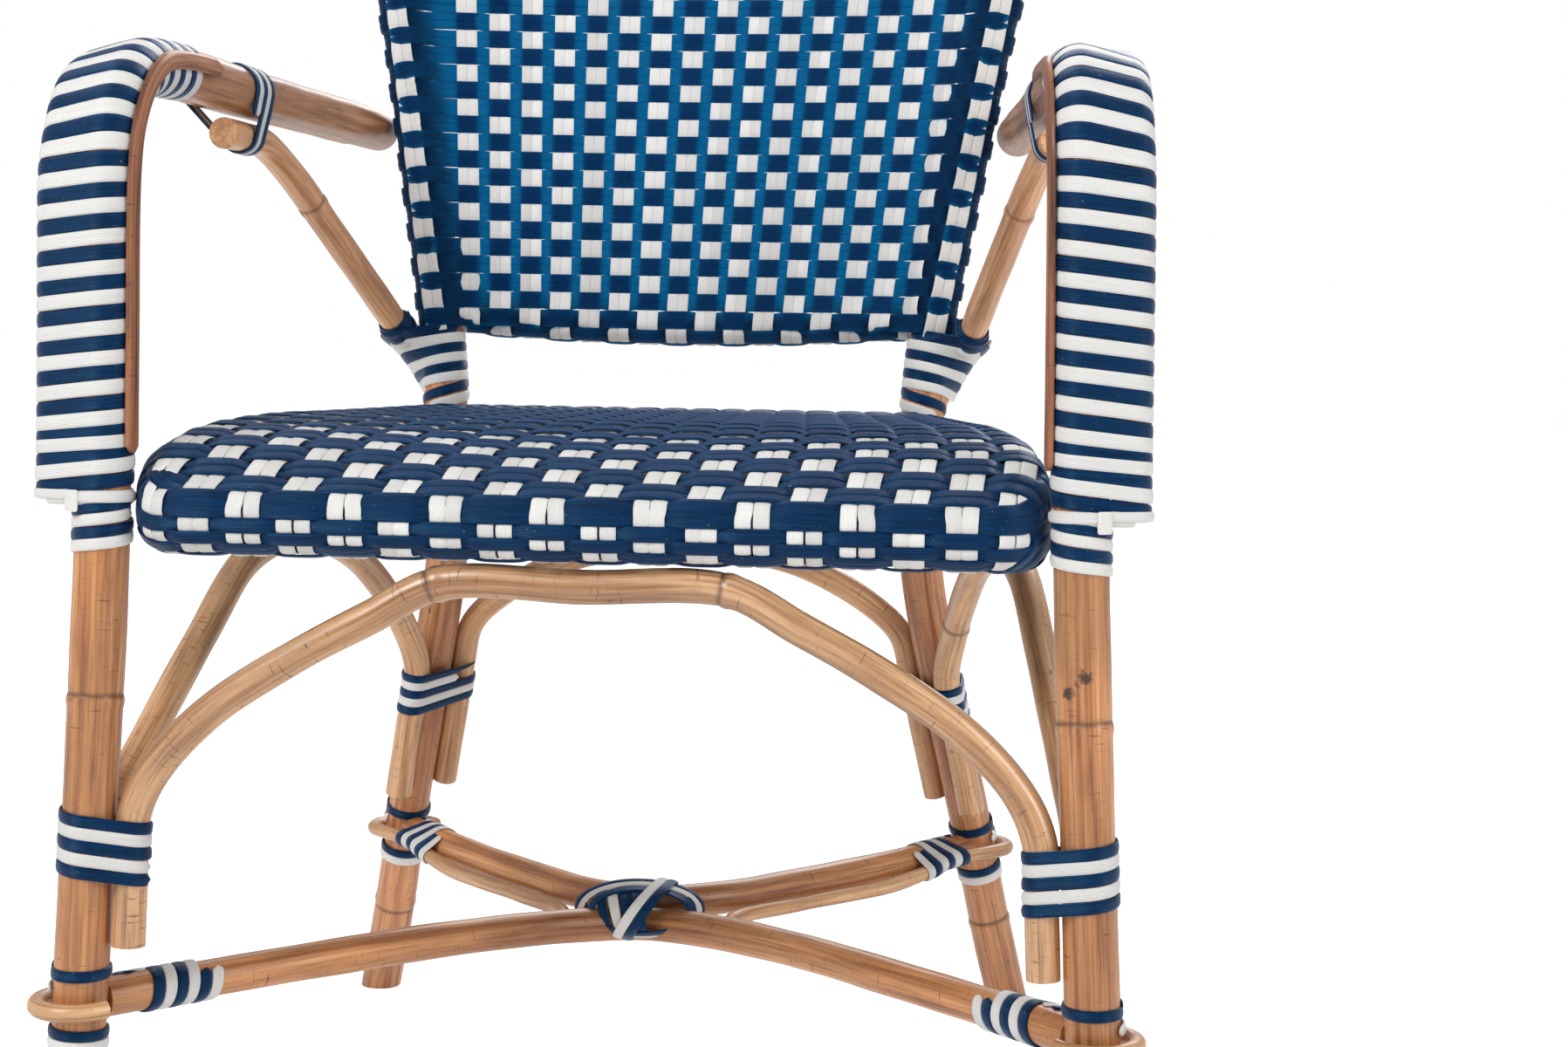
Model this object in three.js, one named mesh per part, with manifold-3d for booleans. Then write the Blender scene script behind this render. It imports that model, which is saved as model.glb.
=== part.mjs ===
// A rattan bistro armchair: bent poles, woven seat and back, and striped strip bindings.
// Millimetres, +Z up. Lengths along Y are measured backwards from the plane of the front legs,
// and the last lines move the chair so that its footprint is centred on the origin.
import * as THREE from "three";
import { mergeVertices } from "three/addons/utils/BufferGeometryUtils.js";
import Module from "manifold-3d";

const wasm = await Module();
wasm.setup();

// Driving dimensions: overall places
const seatHeight = 457; // top of the woven seat along its edges
const seatThickness = 73; // from the seat's underside to that top
const seatUnderside = seatHeight - seatThickness;
const seatRearHalfWidth = 195;
const seatFrontFace = -19.5; // foremost face of the seat, ahead of the leg plane
const seatCornerRadius = 58;
const seatFrontCornerRadius = 40;
const seatFrontWall = 3.3; // upright stretch between the two rolls of the seat's front edge
const seatCrestDepth = 156; // how far back the front waterfall reaches
const seatFallLength = 52; // the run over which most of the waterfall's drop is gone
const seatCrown = 2.5; // how far the middle of the seat stands above its edge rails
const backHeight = 886; // top of the chair
const backAboveSeat = 50; // from the seat up to the lower edge of the woven back
const backPanelBottom = seatHeight + backAboveSeat;
const backPanelSag = 7; // how far the lower edge hangs down at its middle
const backHollow = 26; // how far the middle of the back lies behind its posts
const backCornerRadius = 92;
const armHeight = 672; // top of the wrapped arm

// Poles
const mainPole = 30; // legs, arms and back posts
const armOuterPole = 20;
const archPole = 19;
const rearArchPole = 18;
const bracePole = 19;
const seatPole = 33;
const backRailPole = 20;
const loopPole = 9.5; // thin cane round the stretchers
const nodeSwell = 0.7; // how far a growth ring stands out
const nodeLength = 9;
const poleSides = 8;
const poleSag = 0.33; // most distance between a pole's curve and its straight pieces
const sleeveSag = 1;
const poleReach = 400; // most length of a straight piece
const edgeCaneWidth = 11; // the flat-backed cane along the inner side of each wrapped arm
const edgeCaneThickness = 3.2;

// Clearances and skins
const seatGap = 0.4; // between pieces that touch
const cutGap = 0.3; // round a coped end or inside a woven sleeve
const legLean = 3; // room for the legs' lean within the thin cane's height
const weldDistance = 1e-4; // corners closer than this are one corner
const plainness = 0.3; // how far a woven skin's corners may move when it is made plainer
const weaveThickness = 3;
const stripThickness = 1.3;
const stripGap = 0.42; // between a strip and what it is wound on
const armStripWidth = 7.4;
const armStripPitch = 16.2; // one navy and one white strip
const archStripWidth = 6.5;
const archStripPitch = 14.2;
const rearStripWidth = 5.7;
const rearStripPitch = 12.6;
const stretcherStripWidth = 6.2;
const stretcherStripPitch = 13.8;
const cornerStripWidth = 6.0;
const cornerStripPitch = 13.2;
const postStripWidth = 6.1;
const postStripPitch = 13.6;
const braceStripWidth = 5.6;
const braceStripPitch = 12.4;
const crossStripWidth = 5.6;
const crossStripPitch = 12.6;

// Right front leg and arm, as X, Y, Z
const frontFootX = 286.5;
const frontFootY = -8;
const kneeX = 267.7; // leg axis at the seat's underside
const kneeZ = seatUnderside;
const armFrontX = 264.5; // leg axis where the arm begins to bend
const armFrontY = 2;
const armBendRadius = 64;
const armClearOfPost = 4.88; // between the arm and the back post at the arm's rear end
const armRearY = 470;
const armRearDrop = 5.28; // how far the arm falls on its way back

// Right rear leg, post and hoop
const rearFootX = 244;
const rearFootY = 518;
const rearAnkleX = 228;
const rearAnkleY = 498;
const rearShinX = 210.3;
const rearShinY = 473;
const rearThighX = 190.5;
const rearThighY = 447;
const rearHipX = 172.6;
const rearHipY = 427;
const postX = 171.5;
const postY = 419;
const postStraightBelow = 37; // the post runs upright from here below the seat's top
const postStraightAbove = 35; // up to here above it
const postLowZ = seatHeight - postStraightBelow;
const postTopOfStraightZ = seatHeight + postStraightAbove;
const postSpread = 0.178; // outward lean of the back posts above the seat
const postLean = 0.205; // backward lean of the back

// Arches and stretchers
const archBelowSeat = 12.5; // arch axes below the seat's underside
const rearArchBelowSeat = 33.5;
const archTopZ = seatUnderside - archBelowSeat;
const archFlatHalf = 79;
const archShoulderX = 157;
const archShoulderShare = 0.689; // of the rise from where the arch is bound to its top
const archHaunchX = 206;
const archHaunchShare = 0.445;
const archHipX = 237;
const archHipShare = 0.198;
const archBoundShare = 0.625; // heights below the seat, as shares of its underside's height
const archEndShare = 0.4323;
const rearBoundShare = 0.6875;
const rearArchEndShare = 0.4453;
const sideArchFrontEndShare = 0.4583;
const stretcherShare = 0.34635;
const archBoundZ = seatUnderside * archBoundShare;
const archEndZ = seatUnderside * archEndShare;
const rearArchTopZ = seatUnderside - rearArchBelowSeat;
const rearArchFlatHalf = 58;
const rearArchEndZ = seatUnderside * rearArchEndShare;
const rearArchBehind = 11; // rear arch axis behind the rear leg axis
const sideArchTopZ = seatUnderside - archPole / 2 - seatGap;
const sideArchRearEndZ = archEndZ;
const sideArchFrontEndZ = seatUnderside * sideArchFrontEndShare;
const stretcherZ = seatUnderside * stretcherShare;
const stretcherMiddleY = 262; // where the two bows touch
const loopBendX = 56; // the thin cane turns back here

// Bindings, by height or by distance along what they are wound on
const armWrapAboveUnderside = 40;
const armWrapLowZ = seatUnderside + armWrapAboveUnderside;
const armWrapEndY = 112; // the arm is wrapped no further back than this
const cornerBindAboveUnderside = 21;
const cornerBindTopZ = seatUnderside + cornerBindAboveUnderside;
const edgeCaneAboveUnderside = 56;
const edgeCaneLowZ = seatUnderside + edgeCaneAboveUnderside;
const archBindAbove = 1; // top of the front binding above where the arch springs
const archBindTopZ = archBoundZ + archBindAbove;
const rearBindTopZ = seatUnderside * rearBoundShare;
const postBindAboveSeat = 1;
const postBindLowZ = seatHeight + postBindAboveSeat;
const stretcherBindFromLeg = 35;
const braceBindFromTop = 46;
const braceBendAboveSeat = 52; // where the brace leaves the post
const braceBendZ = seatHeight + braceBendAboveSeat;
const braceReach = 172; // from the post forward to where the brace meets the arm
const braceDrop = 1.6; // room for the poles' bends where the brace lies along the arm
const loopHookAngle = 148; // degrees that the thin cane's ends are bent round a leg
const loopRunAngle = -22; // degrees at which it leaves the leg for the bow

// Shares of a curve's length, of a rise or of a width
const quarterShares = [0.25, 0.5, 0.75, 1];
const thirdShares = [1 / 3, 2 / 3];
const armInwardShare = 0.12; // of the arm's inward run, taken up by its front bend
const rearAnkleShare = 1 / 6; // heights of the rear leg's bends, of where the post begins
const rearShinShare = 0.3762;
const rearThighShare = 0.5952;
const rearHipShare = 0.8214;
const hoopRiseShares = [0.16, 0.45, 0.75];
const frontLegNodeShares = [0.09, 0.258];
const hoopNodeShares = [0.036, 0.964];
const frontArchNodeShares = [0.375, 0.625];
const sideArchNodeShares = [0.62];
const braceNodeShares = [0.6];
const fallStartShare = 2 / 3; // of the front roll's radius, behind the front face
const seatSideShares = [0.1, 0.22, 0.4, 0.7]; // along the side, from front to rear
const seatTopShares = [0.16, 0.42]; // from the seat's edge to its middle
const flatShare = 0.976; // how far the flats of eight-sided corners reach, of their radius
const rearArchShares = [
  [0.93, 0.66], // across from the crown's end, down from the top
  [0.72, 0.4],
  [0.36, 0.14],
];
const sideRiseShares = [
  [0.07, 0.36], // along from the rear leg, up from the binding
  [0.25, 0.82],
];
const sideCrownShare = 0.45;
const sideFallShares = [
  [0.62, 0.07], // along from the rear leg, down from the top
  [0.76, 0.38],
  [0.92, 0.78],
];
const braceShares = [0.25, 0.6, 0.82]; // between its bend and the arm
const rearBowShares = [
  [1, 1], // out towards the leg, back towards the leg
  [0.8, 0.73],
  [0.6, 0.485],
  [0.4, 0.27],
  [0.2, 0.08],
  [0, 0],
];
const frontBowShares = [
  [1, 1],
  [0.8, 0.77],
  [0.6, 0.55],
  [0.4, 0.32],
  [0.18, 0.1],
  [0, 0],
];
const loopRunShares = [0.085, 0.12, 0.19, 0.26, 0.33]; // along a bow, where the thin cane lies beside it
const edgeCaneShoulderShare = 0.75;
const leastSlantShare = 0.5; // of a section's plane that a slanting neighbour still counts with

const rattan = material(0xc08d5c, 0.45);
const paleRattan = material(0xd4aa78, 0.42);
const darkRattan = material(0xb57f52, 0.5);
const navy = material(0x1b3358, 0.35);
const white = material(0xeceae6, 0.4);

function material(color, roughness) {
  return new THREE.MeshStandardMaterial({ color, roughness, metalness: 0 });
}

const axisX = new THREE.Vector3(1, 0, 0);
const axisY = new THREE.Vector3(0, 1, 0);
const axisZ = new THREE.Vector3(0, 0, 1);

function point(x, y, z) {
  return new THREE.Vector3(x, y, z);
}

function curveThrough(points) {
  return new THREE.CatmullRomCurve3(points, false, "centripetal");
}

function mirroredPoints(points) {
  return points.map((p) => point(-p.x, p.y, p.z));
}

// A curve whose second half mirrors the first in the plane X = 0.
function symmetricCurve(rightPoints) {
  const left = mirroredPoints(rightPoints).reverse();
  const middle = rightPoints[rightPoints.length - 1].x === 0 ? 1 : 0;
  return curveThrough([...rightPoints, ...left.slice(middle)]);
}

// The frame at a share of a curve: tangent, the side nearest to a reference axis, and the third axis.
function frameAt(curve, share, reference) {
  const at = curve.getPointAt(share);
  const tangent = curve.getTangentAt(share);
  const side = reference.clone().addScaledVector(tangent, -reference.dot(tangent)).normalize();
  const third = new THREE.Vector3().crossVectors(tangent, side);
  return { at, tangent, side, third };
}

// A closed solid from rings of points; each ring turns anticlockwise about the direction of travel.
function solidFromRings(rings, closed = false) {
  const sides = rings[0].length;
  const positions = rings.flat().flatMap((p) => [p.x, p.y, p.z]);
  const index = [];
  const spans = closed ? rings.length : rings.length - 1;
  for (let i = 0; i < spans; i += 1) {
    const here = i * sides;
    const next = ((i + 1) % rings.length) * sides;
    for (let k = 0; k < sides; k += 1) {
      const after = (k + 1) % sides;
      index.push(here + k, here + after, next + after);
      index.push(here + k, next + after, next + k);
    }
  }
  if (!closed) {
    const last = (rings.length - 1) * sides;
    for (let k = 1; k < sides - 1; k += 1) {
      index.push(0, k + 1, k);
      index.push(last, last + k, last + k + 1);
    }
  }
  const geometry = new THREE.BufferGeometry();
  geometry.setAttribute("position", new THREE.Float32BufferAttribute(positions, 3));
  geometry.setIndex(index);
  return geometry;
}

// Shares of a curve's length, closer together where it bends, so that the straight pieces between
// them stay within a small distance of the curve.
function stations(curve, sag) {
  const samples = 600;
  const length = curve.getLength();
  const span = length / samples;
  const costs = [0];
  let before = curve.getTangentAt(0);
  for (let i = 1; i <= samples; i += 1) {
    const now = curve.getTangentAt(i / samples);
    const bend = before.angleTo(now) / span;
    costs.push(costs[i - 1] + span * (Math.sqrt(bend / (8 * sag)) + 1 / poleReach));
    before = now;
  }
  const spans = Math.ceil(costs[samples]);
  const shares = [0];
  let i = 0;
  for (let k = 1; k < spans; k += 1) {
    const wanted = (costs[samples] * k) / spans;
    while (costs[i + 1] < wanted) i += 1;
    shares.push((i + (wanted - costs[i]) / (costs[i + 1] - costs[i])) / samples);
  }
  shares.push(1);
  return shares;
}

// A round pole along a curve, with growth rings at some shares of its length.
function pole(settings) {
  const { curve, diameter, reference, sides = poleSides, nodes = [], extra = 0 } = settings;
  const { between = [0, 1], sag = poleSag } = settings;
  const length = curve.getLength();
  const inner = stations(curve, sag).filter((share) => share > between[0] && share < between[1]);
  const shares = [between[0], ...inner, between[1]];
  for (const node of nodes) {
    shares.push(node - nodeLength / length, node, node + nodeLength / length);
  }
  shares.sort((a, b) => a - b);
  const rings = shares.map((share) => {
    const { at, side, third } = frameAt(curve, share, reference);
    const radius = diameter / 2 + extra + (nodes.includes(share) ? nodeSwell : 0);
    return circleRing(at, side, third, radius, sides);
  });
  return solidFromRings(rings);
}

function circleRing(at, side, third, radius, sides) {
  const ring = [];
  for (let k = 0; k < sides; k += 1) {
    const angle = (2 * Math.PI * k) / sides;
    const p = at.clone();
    p.addScaledVector(side, radius * Math.cos(angle));
    p.addScaledVector(third, radius * Math.sin(angle));
    ring.push(p);
  }
  return ring;
}

// Moves an end ring of a pole's solid along the pole until it lies level at a height.
function levelRing(geometry, first, sides, direction, height) {
  const positions = geometry.getAttribute("position");
  for (let k = first; k < first + sides; k += 1) {
    const slide = (height - positions.getZ(k)) / direction.z;
    positions.setXYZ(
      k,
      positions.getX(k) + direction.x * slide,
      positions.getY(k) + direction.y * slide,
      height,
    );
  }
  return geometry;
}

function toManifold(geometry) {
  const bare = geometry.clone();
  bare.deleteAttribute("normal");
  bare.deleteAttribute("uv");
  const merged = mergeVertices(bare, weldDistance);
  return new wasm.Manifold(
    new wasm.Mesh({
      numProp: 3,
      vertProperties: merged.getAttribute("position").array,
      triVerts: new Uint32Array(merged.index.array),
    }),
  );
}

function fromManifold(solid) {
  const mesh = solid.getMesh();
  const geometry = new THREE.BufferGeometry();
  geometry.setAttribute("position", new THREE.BufferAttribute(mesh.vertProperties, 3));
  geometry.setIndex(new THREE.BufferAttribute(mesh.triVerts, 1));
  return geometry;
}

function cut(geometry, ...tools) {
  const solid = tools.reduce((left, tool) => left.subtract(toManifold(tool)), toManifold(geometry));
  return fromManifold(solid);
}

function mirrored(geometry) {
  const copy = geometry.clone();
  copy.scale(-1, 1, 1);
  const index = copy.index;
  for (let i = 0; i < index.count; i += 3) {
    const second = index.getX(i + 1);
    index.setX(i + 1, index.getX(i + 2));
    index.setX(i + 2, second);
  }
  return copy;
}

const chair = new THREE.Group();

function add(name, geometry, finish) {
  const mesh = new THREE.Mesh(geometry, finish);
  mesh.name = name;
  geometry.computeVertexNormals();
  chair.add(mesh);
}

function addPair(name, geometry, finish) {
  add(name + "_right", geometry, finish);
  add(name + "_left", mirrored(geometry), finish);
}

// Where a curve crosses the plane of a frame, nearest to the frame's own point, and how much the
// slant of the crossing stretches a round section there.
function crossing(curve, frame) {
  const samples = 300;
  const side = (p) => p.clone().sub(frame.at).dot(frame.tangent);
  const ends = [curve.getPoint(0), curve.getPoint(1)];
  let best = null;
  let before = ends[0];
  for (let i = 1; i <= samples; i += 1) {
    const now = curve.getPoint(i / samples);
    const a = side(before);
    const b = side(now);
    if (a * b <= 0 && a !== b) {
      const hit = before.clone().lerp(now, a / (a - b));
      const distance = hit.distanceTo(frame.at);
      const slant = Math.abs(now.clone().sub(before).normalize().dot(frame.tangent));
      if (!best || distance < best.distance) best = { hit, distance, slant };
    }
    before = now;
  }
  if (!best) {
    const nearest = ends.sort((p, q) => p.distanceTo(frame.at) - q.distanceTo(frame.at))[0];
    best = { hit: nearest.addScaledVector(frame.tangent, -side(nearest)), slant: 1 };
  }
  const offset = best.hit.sub(frame.at);
  const stretch = 1 / Math.max(best.slant, leastSlantShare);
  return { u: offset.dot(frame.side), v: offset.dot(frame.third), stretch };
}

// A corner of the outline round some circles: where two neighbouring tangent lines meet.
function outlineCorner(circles, angleA, angleB, standOff) {
  const reach = (angle) =>
    Math.max(...circles.map((c) => c.u * Math.cos(angle) + c.v * Math.sin(angle) + c.radius)) + standOff;
  const a = reach(angleA);
  const b = reach(angleB);
  const sine = Math.sin(angleB - angleA);
  return {
    u: (a * Math.sin(angleB) - b * Math.sin(angleA)) / sine,
    v: (b * Math.cos(angleA) - a * Math.cos(angleB)) / sine,
  };
}

// One flat strip wound in an unbroken helix round one or more poles.
// The members are the curves and diameters that it is wound on; it starts at a distance along one curve.
function winding({ name, members, along, reference, start, pitch, loops, width, facets = 6, phase = 0 }) {
  const length = along.getLength();
  const edge = (distance, angleA, angleB) => {
    const frame = frameAt(along, Math.min(Math.max(distance / length, 0), 1), reference);
    const circles = members.map((m) => {
      const { u, v, stretch } = crossing(m.curve, frame);
      return { u, v, radius: (m.diameter / 2) * stretch };
    });
    const place = (corner) =>
      frame.at.clone().addScaledVector(frame.side, corner.u).addScaledVector(frame.third, corner.v);
    return {
      inner: place(outlineCorner(circles, angleA, angleB, stripGap)),
      outer: place(outlineCorner(circles, angleA, angleB, stripGap + stripThickness)),
    };
  };
  const rings = [];
  for (let j = 0; j <= loops * facets; j += 1) {
    const distance = start + (pitch * j) / facets;
    const angleA = phase + (2 * Math.PI * j) / facets;
    const angleB = phase + (2 * Math.PI * (j + 1)) / facets;
    const low = edge(distance - width / 2, angleA, angleB);
    const high = edge(distance + width / 2, angleA, angleB);
    rings.push([low.inner, high.inner, high.outer, low.outer]);
  }
  reportGap(name, rings, facets);
  return solidFromRings(rings);
}

// The least distance between points of a strip that lie most of a loop or more apart.
function reportGap(name, rings, facets) {
  let least = Infinity;
  for (let i = 0; i < rings.length; i += 1) {
    for (let j = i + facets - 1; j < rings.length; j += 1) {
      for (const p of rings[i]) {
        for (const q of rings[j]) least = Math.min(least, p.distanceTo(q));
      }
    }
  }
  console.log(name + ": least gap to itself " + least.toFixed(2) + " mm");
}

// The share of a curve's length at which it passes a height, searched from its start.
function shareAtHeight(curve, height) {
  const steps = 400;
  let before = curve.getPointAt(0).z;
  for (let i = 1; i <= steps; i += 1) {
    const z = curve.getPointAt(i / steps).z;
    if (z >= height) return (i - (z - height) / (z - before)) / steps;
    before = z;
  }
  return 1;
}

function distanceAtHeight(curve, height) {
  return shareAtHeight(curve, height) * curve.getLength();
}

// Curves of the frame, for the right side where there are two

const armAxisZ = armHeight - stripThickness - stripGap - mainPole / 2;
const bendStartZ = armAxisZ - armBendRadius;
const armRearZ = armAxisZ - armRearDrop;
const armRearX = postHalfWidth(armRearZ) + mainPole + armClearOfPost;
const frontLegCurve = curveThrough([
  point(frontFootX, frontFootY, 0),
  point((frontFootX + kneeX) / 2, frontFootY / 2, kneeZ / 2),
  point(kneeX, 0, kneeZ),
  point((kneeX + armFrontX) / 2, armFrontY / 2, (kneeZ + bendStartZ) / 2),
  point(armFrontX, armFrontY, bendStartZ),
  ...quarterShares.map((quarterShare) => {
    const turn = (Math.PI / 2) * quarterShare;
    return point(
      armFrontX + (armRearX - armFrontX) * armInwardShare * quarterShare,
      armFrontY + armBendRadius * (1 - Math.cos(turn)),
      bendStartZ + armBendRadius * Math.sin(turn),
    );
  }),
  point((armFrontX + armRearX) / 2, (armFrontY + armRearY) / 2, (armAxisZ + armRearZ) / 2),
  point(armRearX, armRearY, armRearZ),
]);

// The share of the arm's length at which it passes a place behind the leg plane.
function armShareAt(y) {
  const steps = 500;
  let i = steps;
  while (frontLegCurve.getPointAt(i / steps).y > y) i -= 1;
  return i / steps;
}

const armWrapStart = distanceAtHeight(frontLegCurve, armWrapLowZ);
const armWrapEnd = armShareAt(armWrapEndY) * frontLegCurve.getLength();
const armWrapLoops = Math.floor((armWrapEnd - armWrapStart) / armStripPitch);

// The outer arm pole runs beside the leg pole, on its outer side.
const armOuterOffset = mainPole / 2 + armOuterPole / 2 + seatGap;
const armOuterCurve = (() => {
  const shares = [];
  const first = shareAtHeight(frontLegCurve, armWrapLowZ - armStripPitch / 2 + stripGap);
  const spans = 15;
  for (let i = 0; i <= spans; i += 1) shares.push(Math.min(1, first + ((1 - first) * i) / spans));
  return curveThrough(
    shares.map((share) => {
      const { at, side } = frameAt(frontLegCurve, share, axisX);
      return at.addScaledVector(side, armOuterOffset);
    }),
  );
})();

function postHalfWidth(z) {
  return postX + Math.max(0, z - postTopOfStraightZ) * postSpread;
}

function postDepth(z) {
  return postY + Math.max(0, z - postTopOfStraightZ) * postLean;
}

// The curved surface that the back's rails and weave lie in.
function backDepth(x, z) {
  const share = Math.min(1, Math.abs(x) / postHalfWidth(z));
  return postDepth(z) + backHollow * (1 - share * share);
}

const hoopTopZ = backHeight - weaveThickness - cutGap - mainPole / 2;
const hoopCornerZ = hoopTopZ - backCornerRadius;
const hoopCornerX = postHalfWidth(hoopCornerZ) - backCornerRadius;

const rearHoopCurve = (() => {
  const right = [
    point(rearFootX, rearFootY, 0),
    point(rearAnkleX, rearAnkleY, postLowZ * rearAnkleShare),
    point(rearShinX, rearShinY, postLowZ * rearShinShare),
    point(rearThighX, rearThighY, postLowZ * rearThighShare),
    point(rearHipX, rearHipY, postLowZ * rearHipShare),
    point(postX, postY, postLowZ),
    point(postX, postY, (postLowZ + postTopOfStraightZ) / 2),
  ];
  for (const riseShare of hoopRiseShares) {
    const z = postTopOfStraightZ + (hoopCornerZ - postTopOfStraightZ) * riseShare;
    right.push(point(postHalfWidth(z), postDepth(z), z));
  }
  for (const turnShare of [0, ...quarterShares]) {
    const turn = (Math.PI / 2) * turnShare;
    const x = hoopCornerX + backCornerRadius * Math.cos(turn);
    const z = hoopCornerZ + backCornerRadius * Math.sin(turn);
    right.push(point(x, backDepth(x, z), z));
  }
  right.push(point(hoopCornerX / 2, backDepth(hoopCornerX / 2, hoopTopZ), hoopTopZ));
  right.push(point(0, backDepth(0, hoopTopZ), hoopTopZ));
  return symmetricCurve(right);
})();

// The right half of the hoop, from the foot to just past the top of the post.
function rearLegAt(z) {
  const share = shareAtHeight(rearHoopCurve, z);
  return rearHoopCurve.getPointAt(share);
}

function frontLegAt(z) {
  return frontLegCurve.getPointAt(shareAtHeight(frontLegCurve, z));
}

const backRailBottomZ = (x) => {
  const share = Math.min(1, Math.abs(x) / postX);
  return backPanelBottom - backPanelSag * (1 - share * share);
};
const backRailZ = (x) => backRailBottomZ(x) + weaveThickness + cutGap + backRailPole / 2;
const backRailCurve = (() => {
  const postAtRail = postHalfWidth(backRailZ(postX));
  const right = [...quarterShares].reverse().concat(0).map((widthShare) => {
    const x = postAtRail * widthShare;
    return point(x, backDepth(x, backRailZ(x)), backRailZ(x));
  });
  return symmetricCurve(right);
})();

function frontLegPole(extra = 0) {
  const leg = pole({
    curve: frontLegCurve,
    diameter: mainPole,
    reference: axisX,
    nodes: frontLegNodeShares,
    extra,
  });
  return levelRing(leg, 0, poleSides, frontLegCurve.getTangentAt(0), 0);
}

function rearHoopPole(extra = 0) {
  const hoop = pole({
    curve: rearHoopCurve,
    diameter: mainPole,
    reference: axisY,
    nodes: hoopNodeShares,
    extra,
  });
  const last = hoop.getAttribute("position").count - poleSides;
  levelRing(hoop, 0, poleSides, rearHoopCurve.getTangentAt(0), 0);
  return levelRing(hoop, last, poleSides, rearHoopCurve.getTangentAt(1), 0);
}

function addLegsAndArms() {
  addPair("front_leg_and_arm", frontLegPole(), rattan);
  addPair(
    "arm_outer_pole",
    pole({ curve: armOuterCurve, diameter: armOuterPole, reference: axisX }),
    rattan,
  );
}

function addRearHoop() {
  add("rear_legs_and_back_hoop", rearHoopPole(), darkRattan);
  const rail = pole({ curve: backRailCurve, diameter: backRailPole, reference: axisZ });
  add("back_lower_rail", cut(rail, rearHoopPole(2 * cutGap)), rattan);
}

// The woven back: a sheet between the poles, and its edge wound round the hoop and the lower rail.
function addBackWeave() {
  const skin = weaveThickness + cutGap;
  const first = shareAtHeight(rearHoopCurve, backPanelBottom);
  const rail = (extra) =>
    toManifold(pole({ curve: backRailCurve, diameter: backRailPole, reference: axisZ, extra }));
  const sleeve = (extra) => {
    const between = [first, 1 - first];
    const hoop = { curve: rearHoopCurve, diameter: mainPole, reference: axisY, between, sag: sleeveSag };
    return toManifold(pole({ ...hoop, extra })).add(rail(extra));
  };
  const poles = toManifold(rearHoopPole(2 * cutGap)).add(rail(2 * cutGap));
  const edge = sleeve(skin + cutGap).subtract(poles);
  const sheet = toManifold(backSheet()).subtract(sleeve(skin + 2 * cutGap));
  add("back_edge_weave", fromManifold(edge.simplify(plainness)), navy);
  add("back_weave", fromManifold(sheet.simplify(plainness)), navy);
}

// The sheet of the back's weave, flush with the front of the poles.
function backSheet() {
  const columns = 10;
  const rows = 4;
  const forward = backRailPole / 2 - weaveThickness / 2;
  const top = (x) => {
    const past = Math.max(0, Math.abs(x) - hoopCornerX) / backCornerRadius;
    return hoopCornerZ + backCornerRadius * Math.sqrt(Math.max(0, 1 - Math.min(1, past) ** 2));
  };
  const rings = [];
  for (let i = 0; i <= columns; i += 1) {
    const share = -1 + (2 * i) / columns;
    const front = [];
    const back = [];
    for (let j = 0; j <= rows; j += 1) {
      const topX = share * postHalfWidth(hoopCornerZ);
      const low = backRailZ(share * postX);
      const z = low + ((top(topX) - low) * j) / rows;
      const x = share * postHalfWidth(z);
      const y = backDepth(x, z) - forward;
      front.push(point(x, y - weaveThickness / 2, z));
      back.push(point(x, y + weaveThickness / 2, z));
    }
    rings.push([...front.reverse(), ...back]);
  }
  return stripSolid(rings);
}

// As solidFromRings, for long thin rings whose caps are ladders rather than fans.
function stripSolid(rings) {
  const sides = rings[0].length;
  const half = sides / 2;
  const body = solidFromRings(rings, false);
  const index = Array.from(body.index.array).slice(0, (rings.length - 1) * sides * 6);
  const last = (rings.length - 1) * sides;
  for (let k = 0; k < half - 1; k += 1) {
    const other = sides - 1 - k;
    index.push(k, other, k + 1, k + 1, other, other - 1);
    index.push(last + k, last + k + 1, last + other, last + k + 1, last + other - 1, last + other);
  }
  body.setIndex(index);
  return body;
}

// Seat

const seatSkin = weaveThickness + cutGap;
const seatRailInset = seatSkin + seatPole / 2;
const seatLowRailZ = seatUnderside + seatRailInset;
const seatHighRailZ = seatHeight - seatRailInset;

// The seat's front corners lie against the wrapped front legs, and its rear corners against the posts.
const boundRadius = mainPole / 2 + stripGap + stripThickness;
const seatFrontCorner = (() => {
  const leg = frontLegAt(seatHighRailZ);
  const y = seatFrontFace + seatFrontCornerRadius;
  const reach = (seatFrontCornerRadius + boundRadius) * flatShare + 2 * seatGap;
  return { x: leg.x - Math.sqrt(reach ** 2 - (y - leg.y) ** 2), y };
})();
const seatRearCorner = (() => {
  const post = rearLegAt(seatHighRailZ);
  const x = seatRearHalfWidth - seatCornerRadius;
  const reach = (seatCornerRadius + mainPole / 2) * flatShare + seatGap;
  return { x, y: post.y - Math.sqrt(reach ** 2 - (post.x - x) ** 2) };
})();
const seatRearFace = seatRearCorner.y + seatCornerRadius;
const seatMiddleY = (seatFrontFace + seatRearFace) / 2;
const seatDrop = seatHighRailZ - seatLowRailZ - seatFrontWall;

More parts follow.
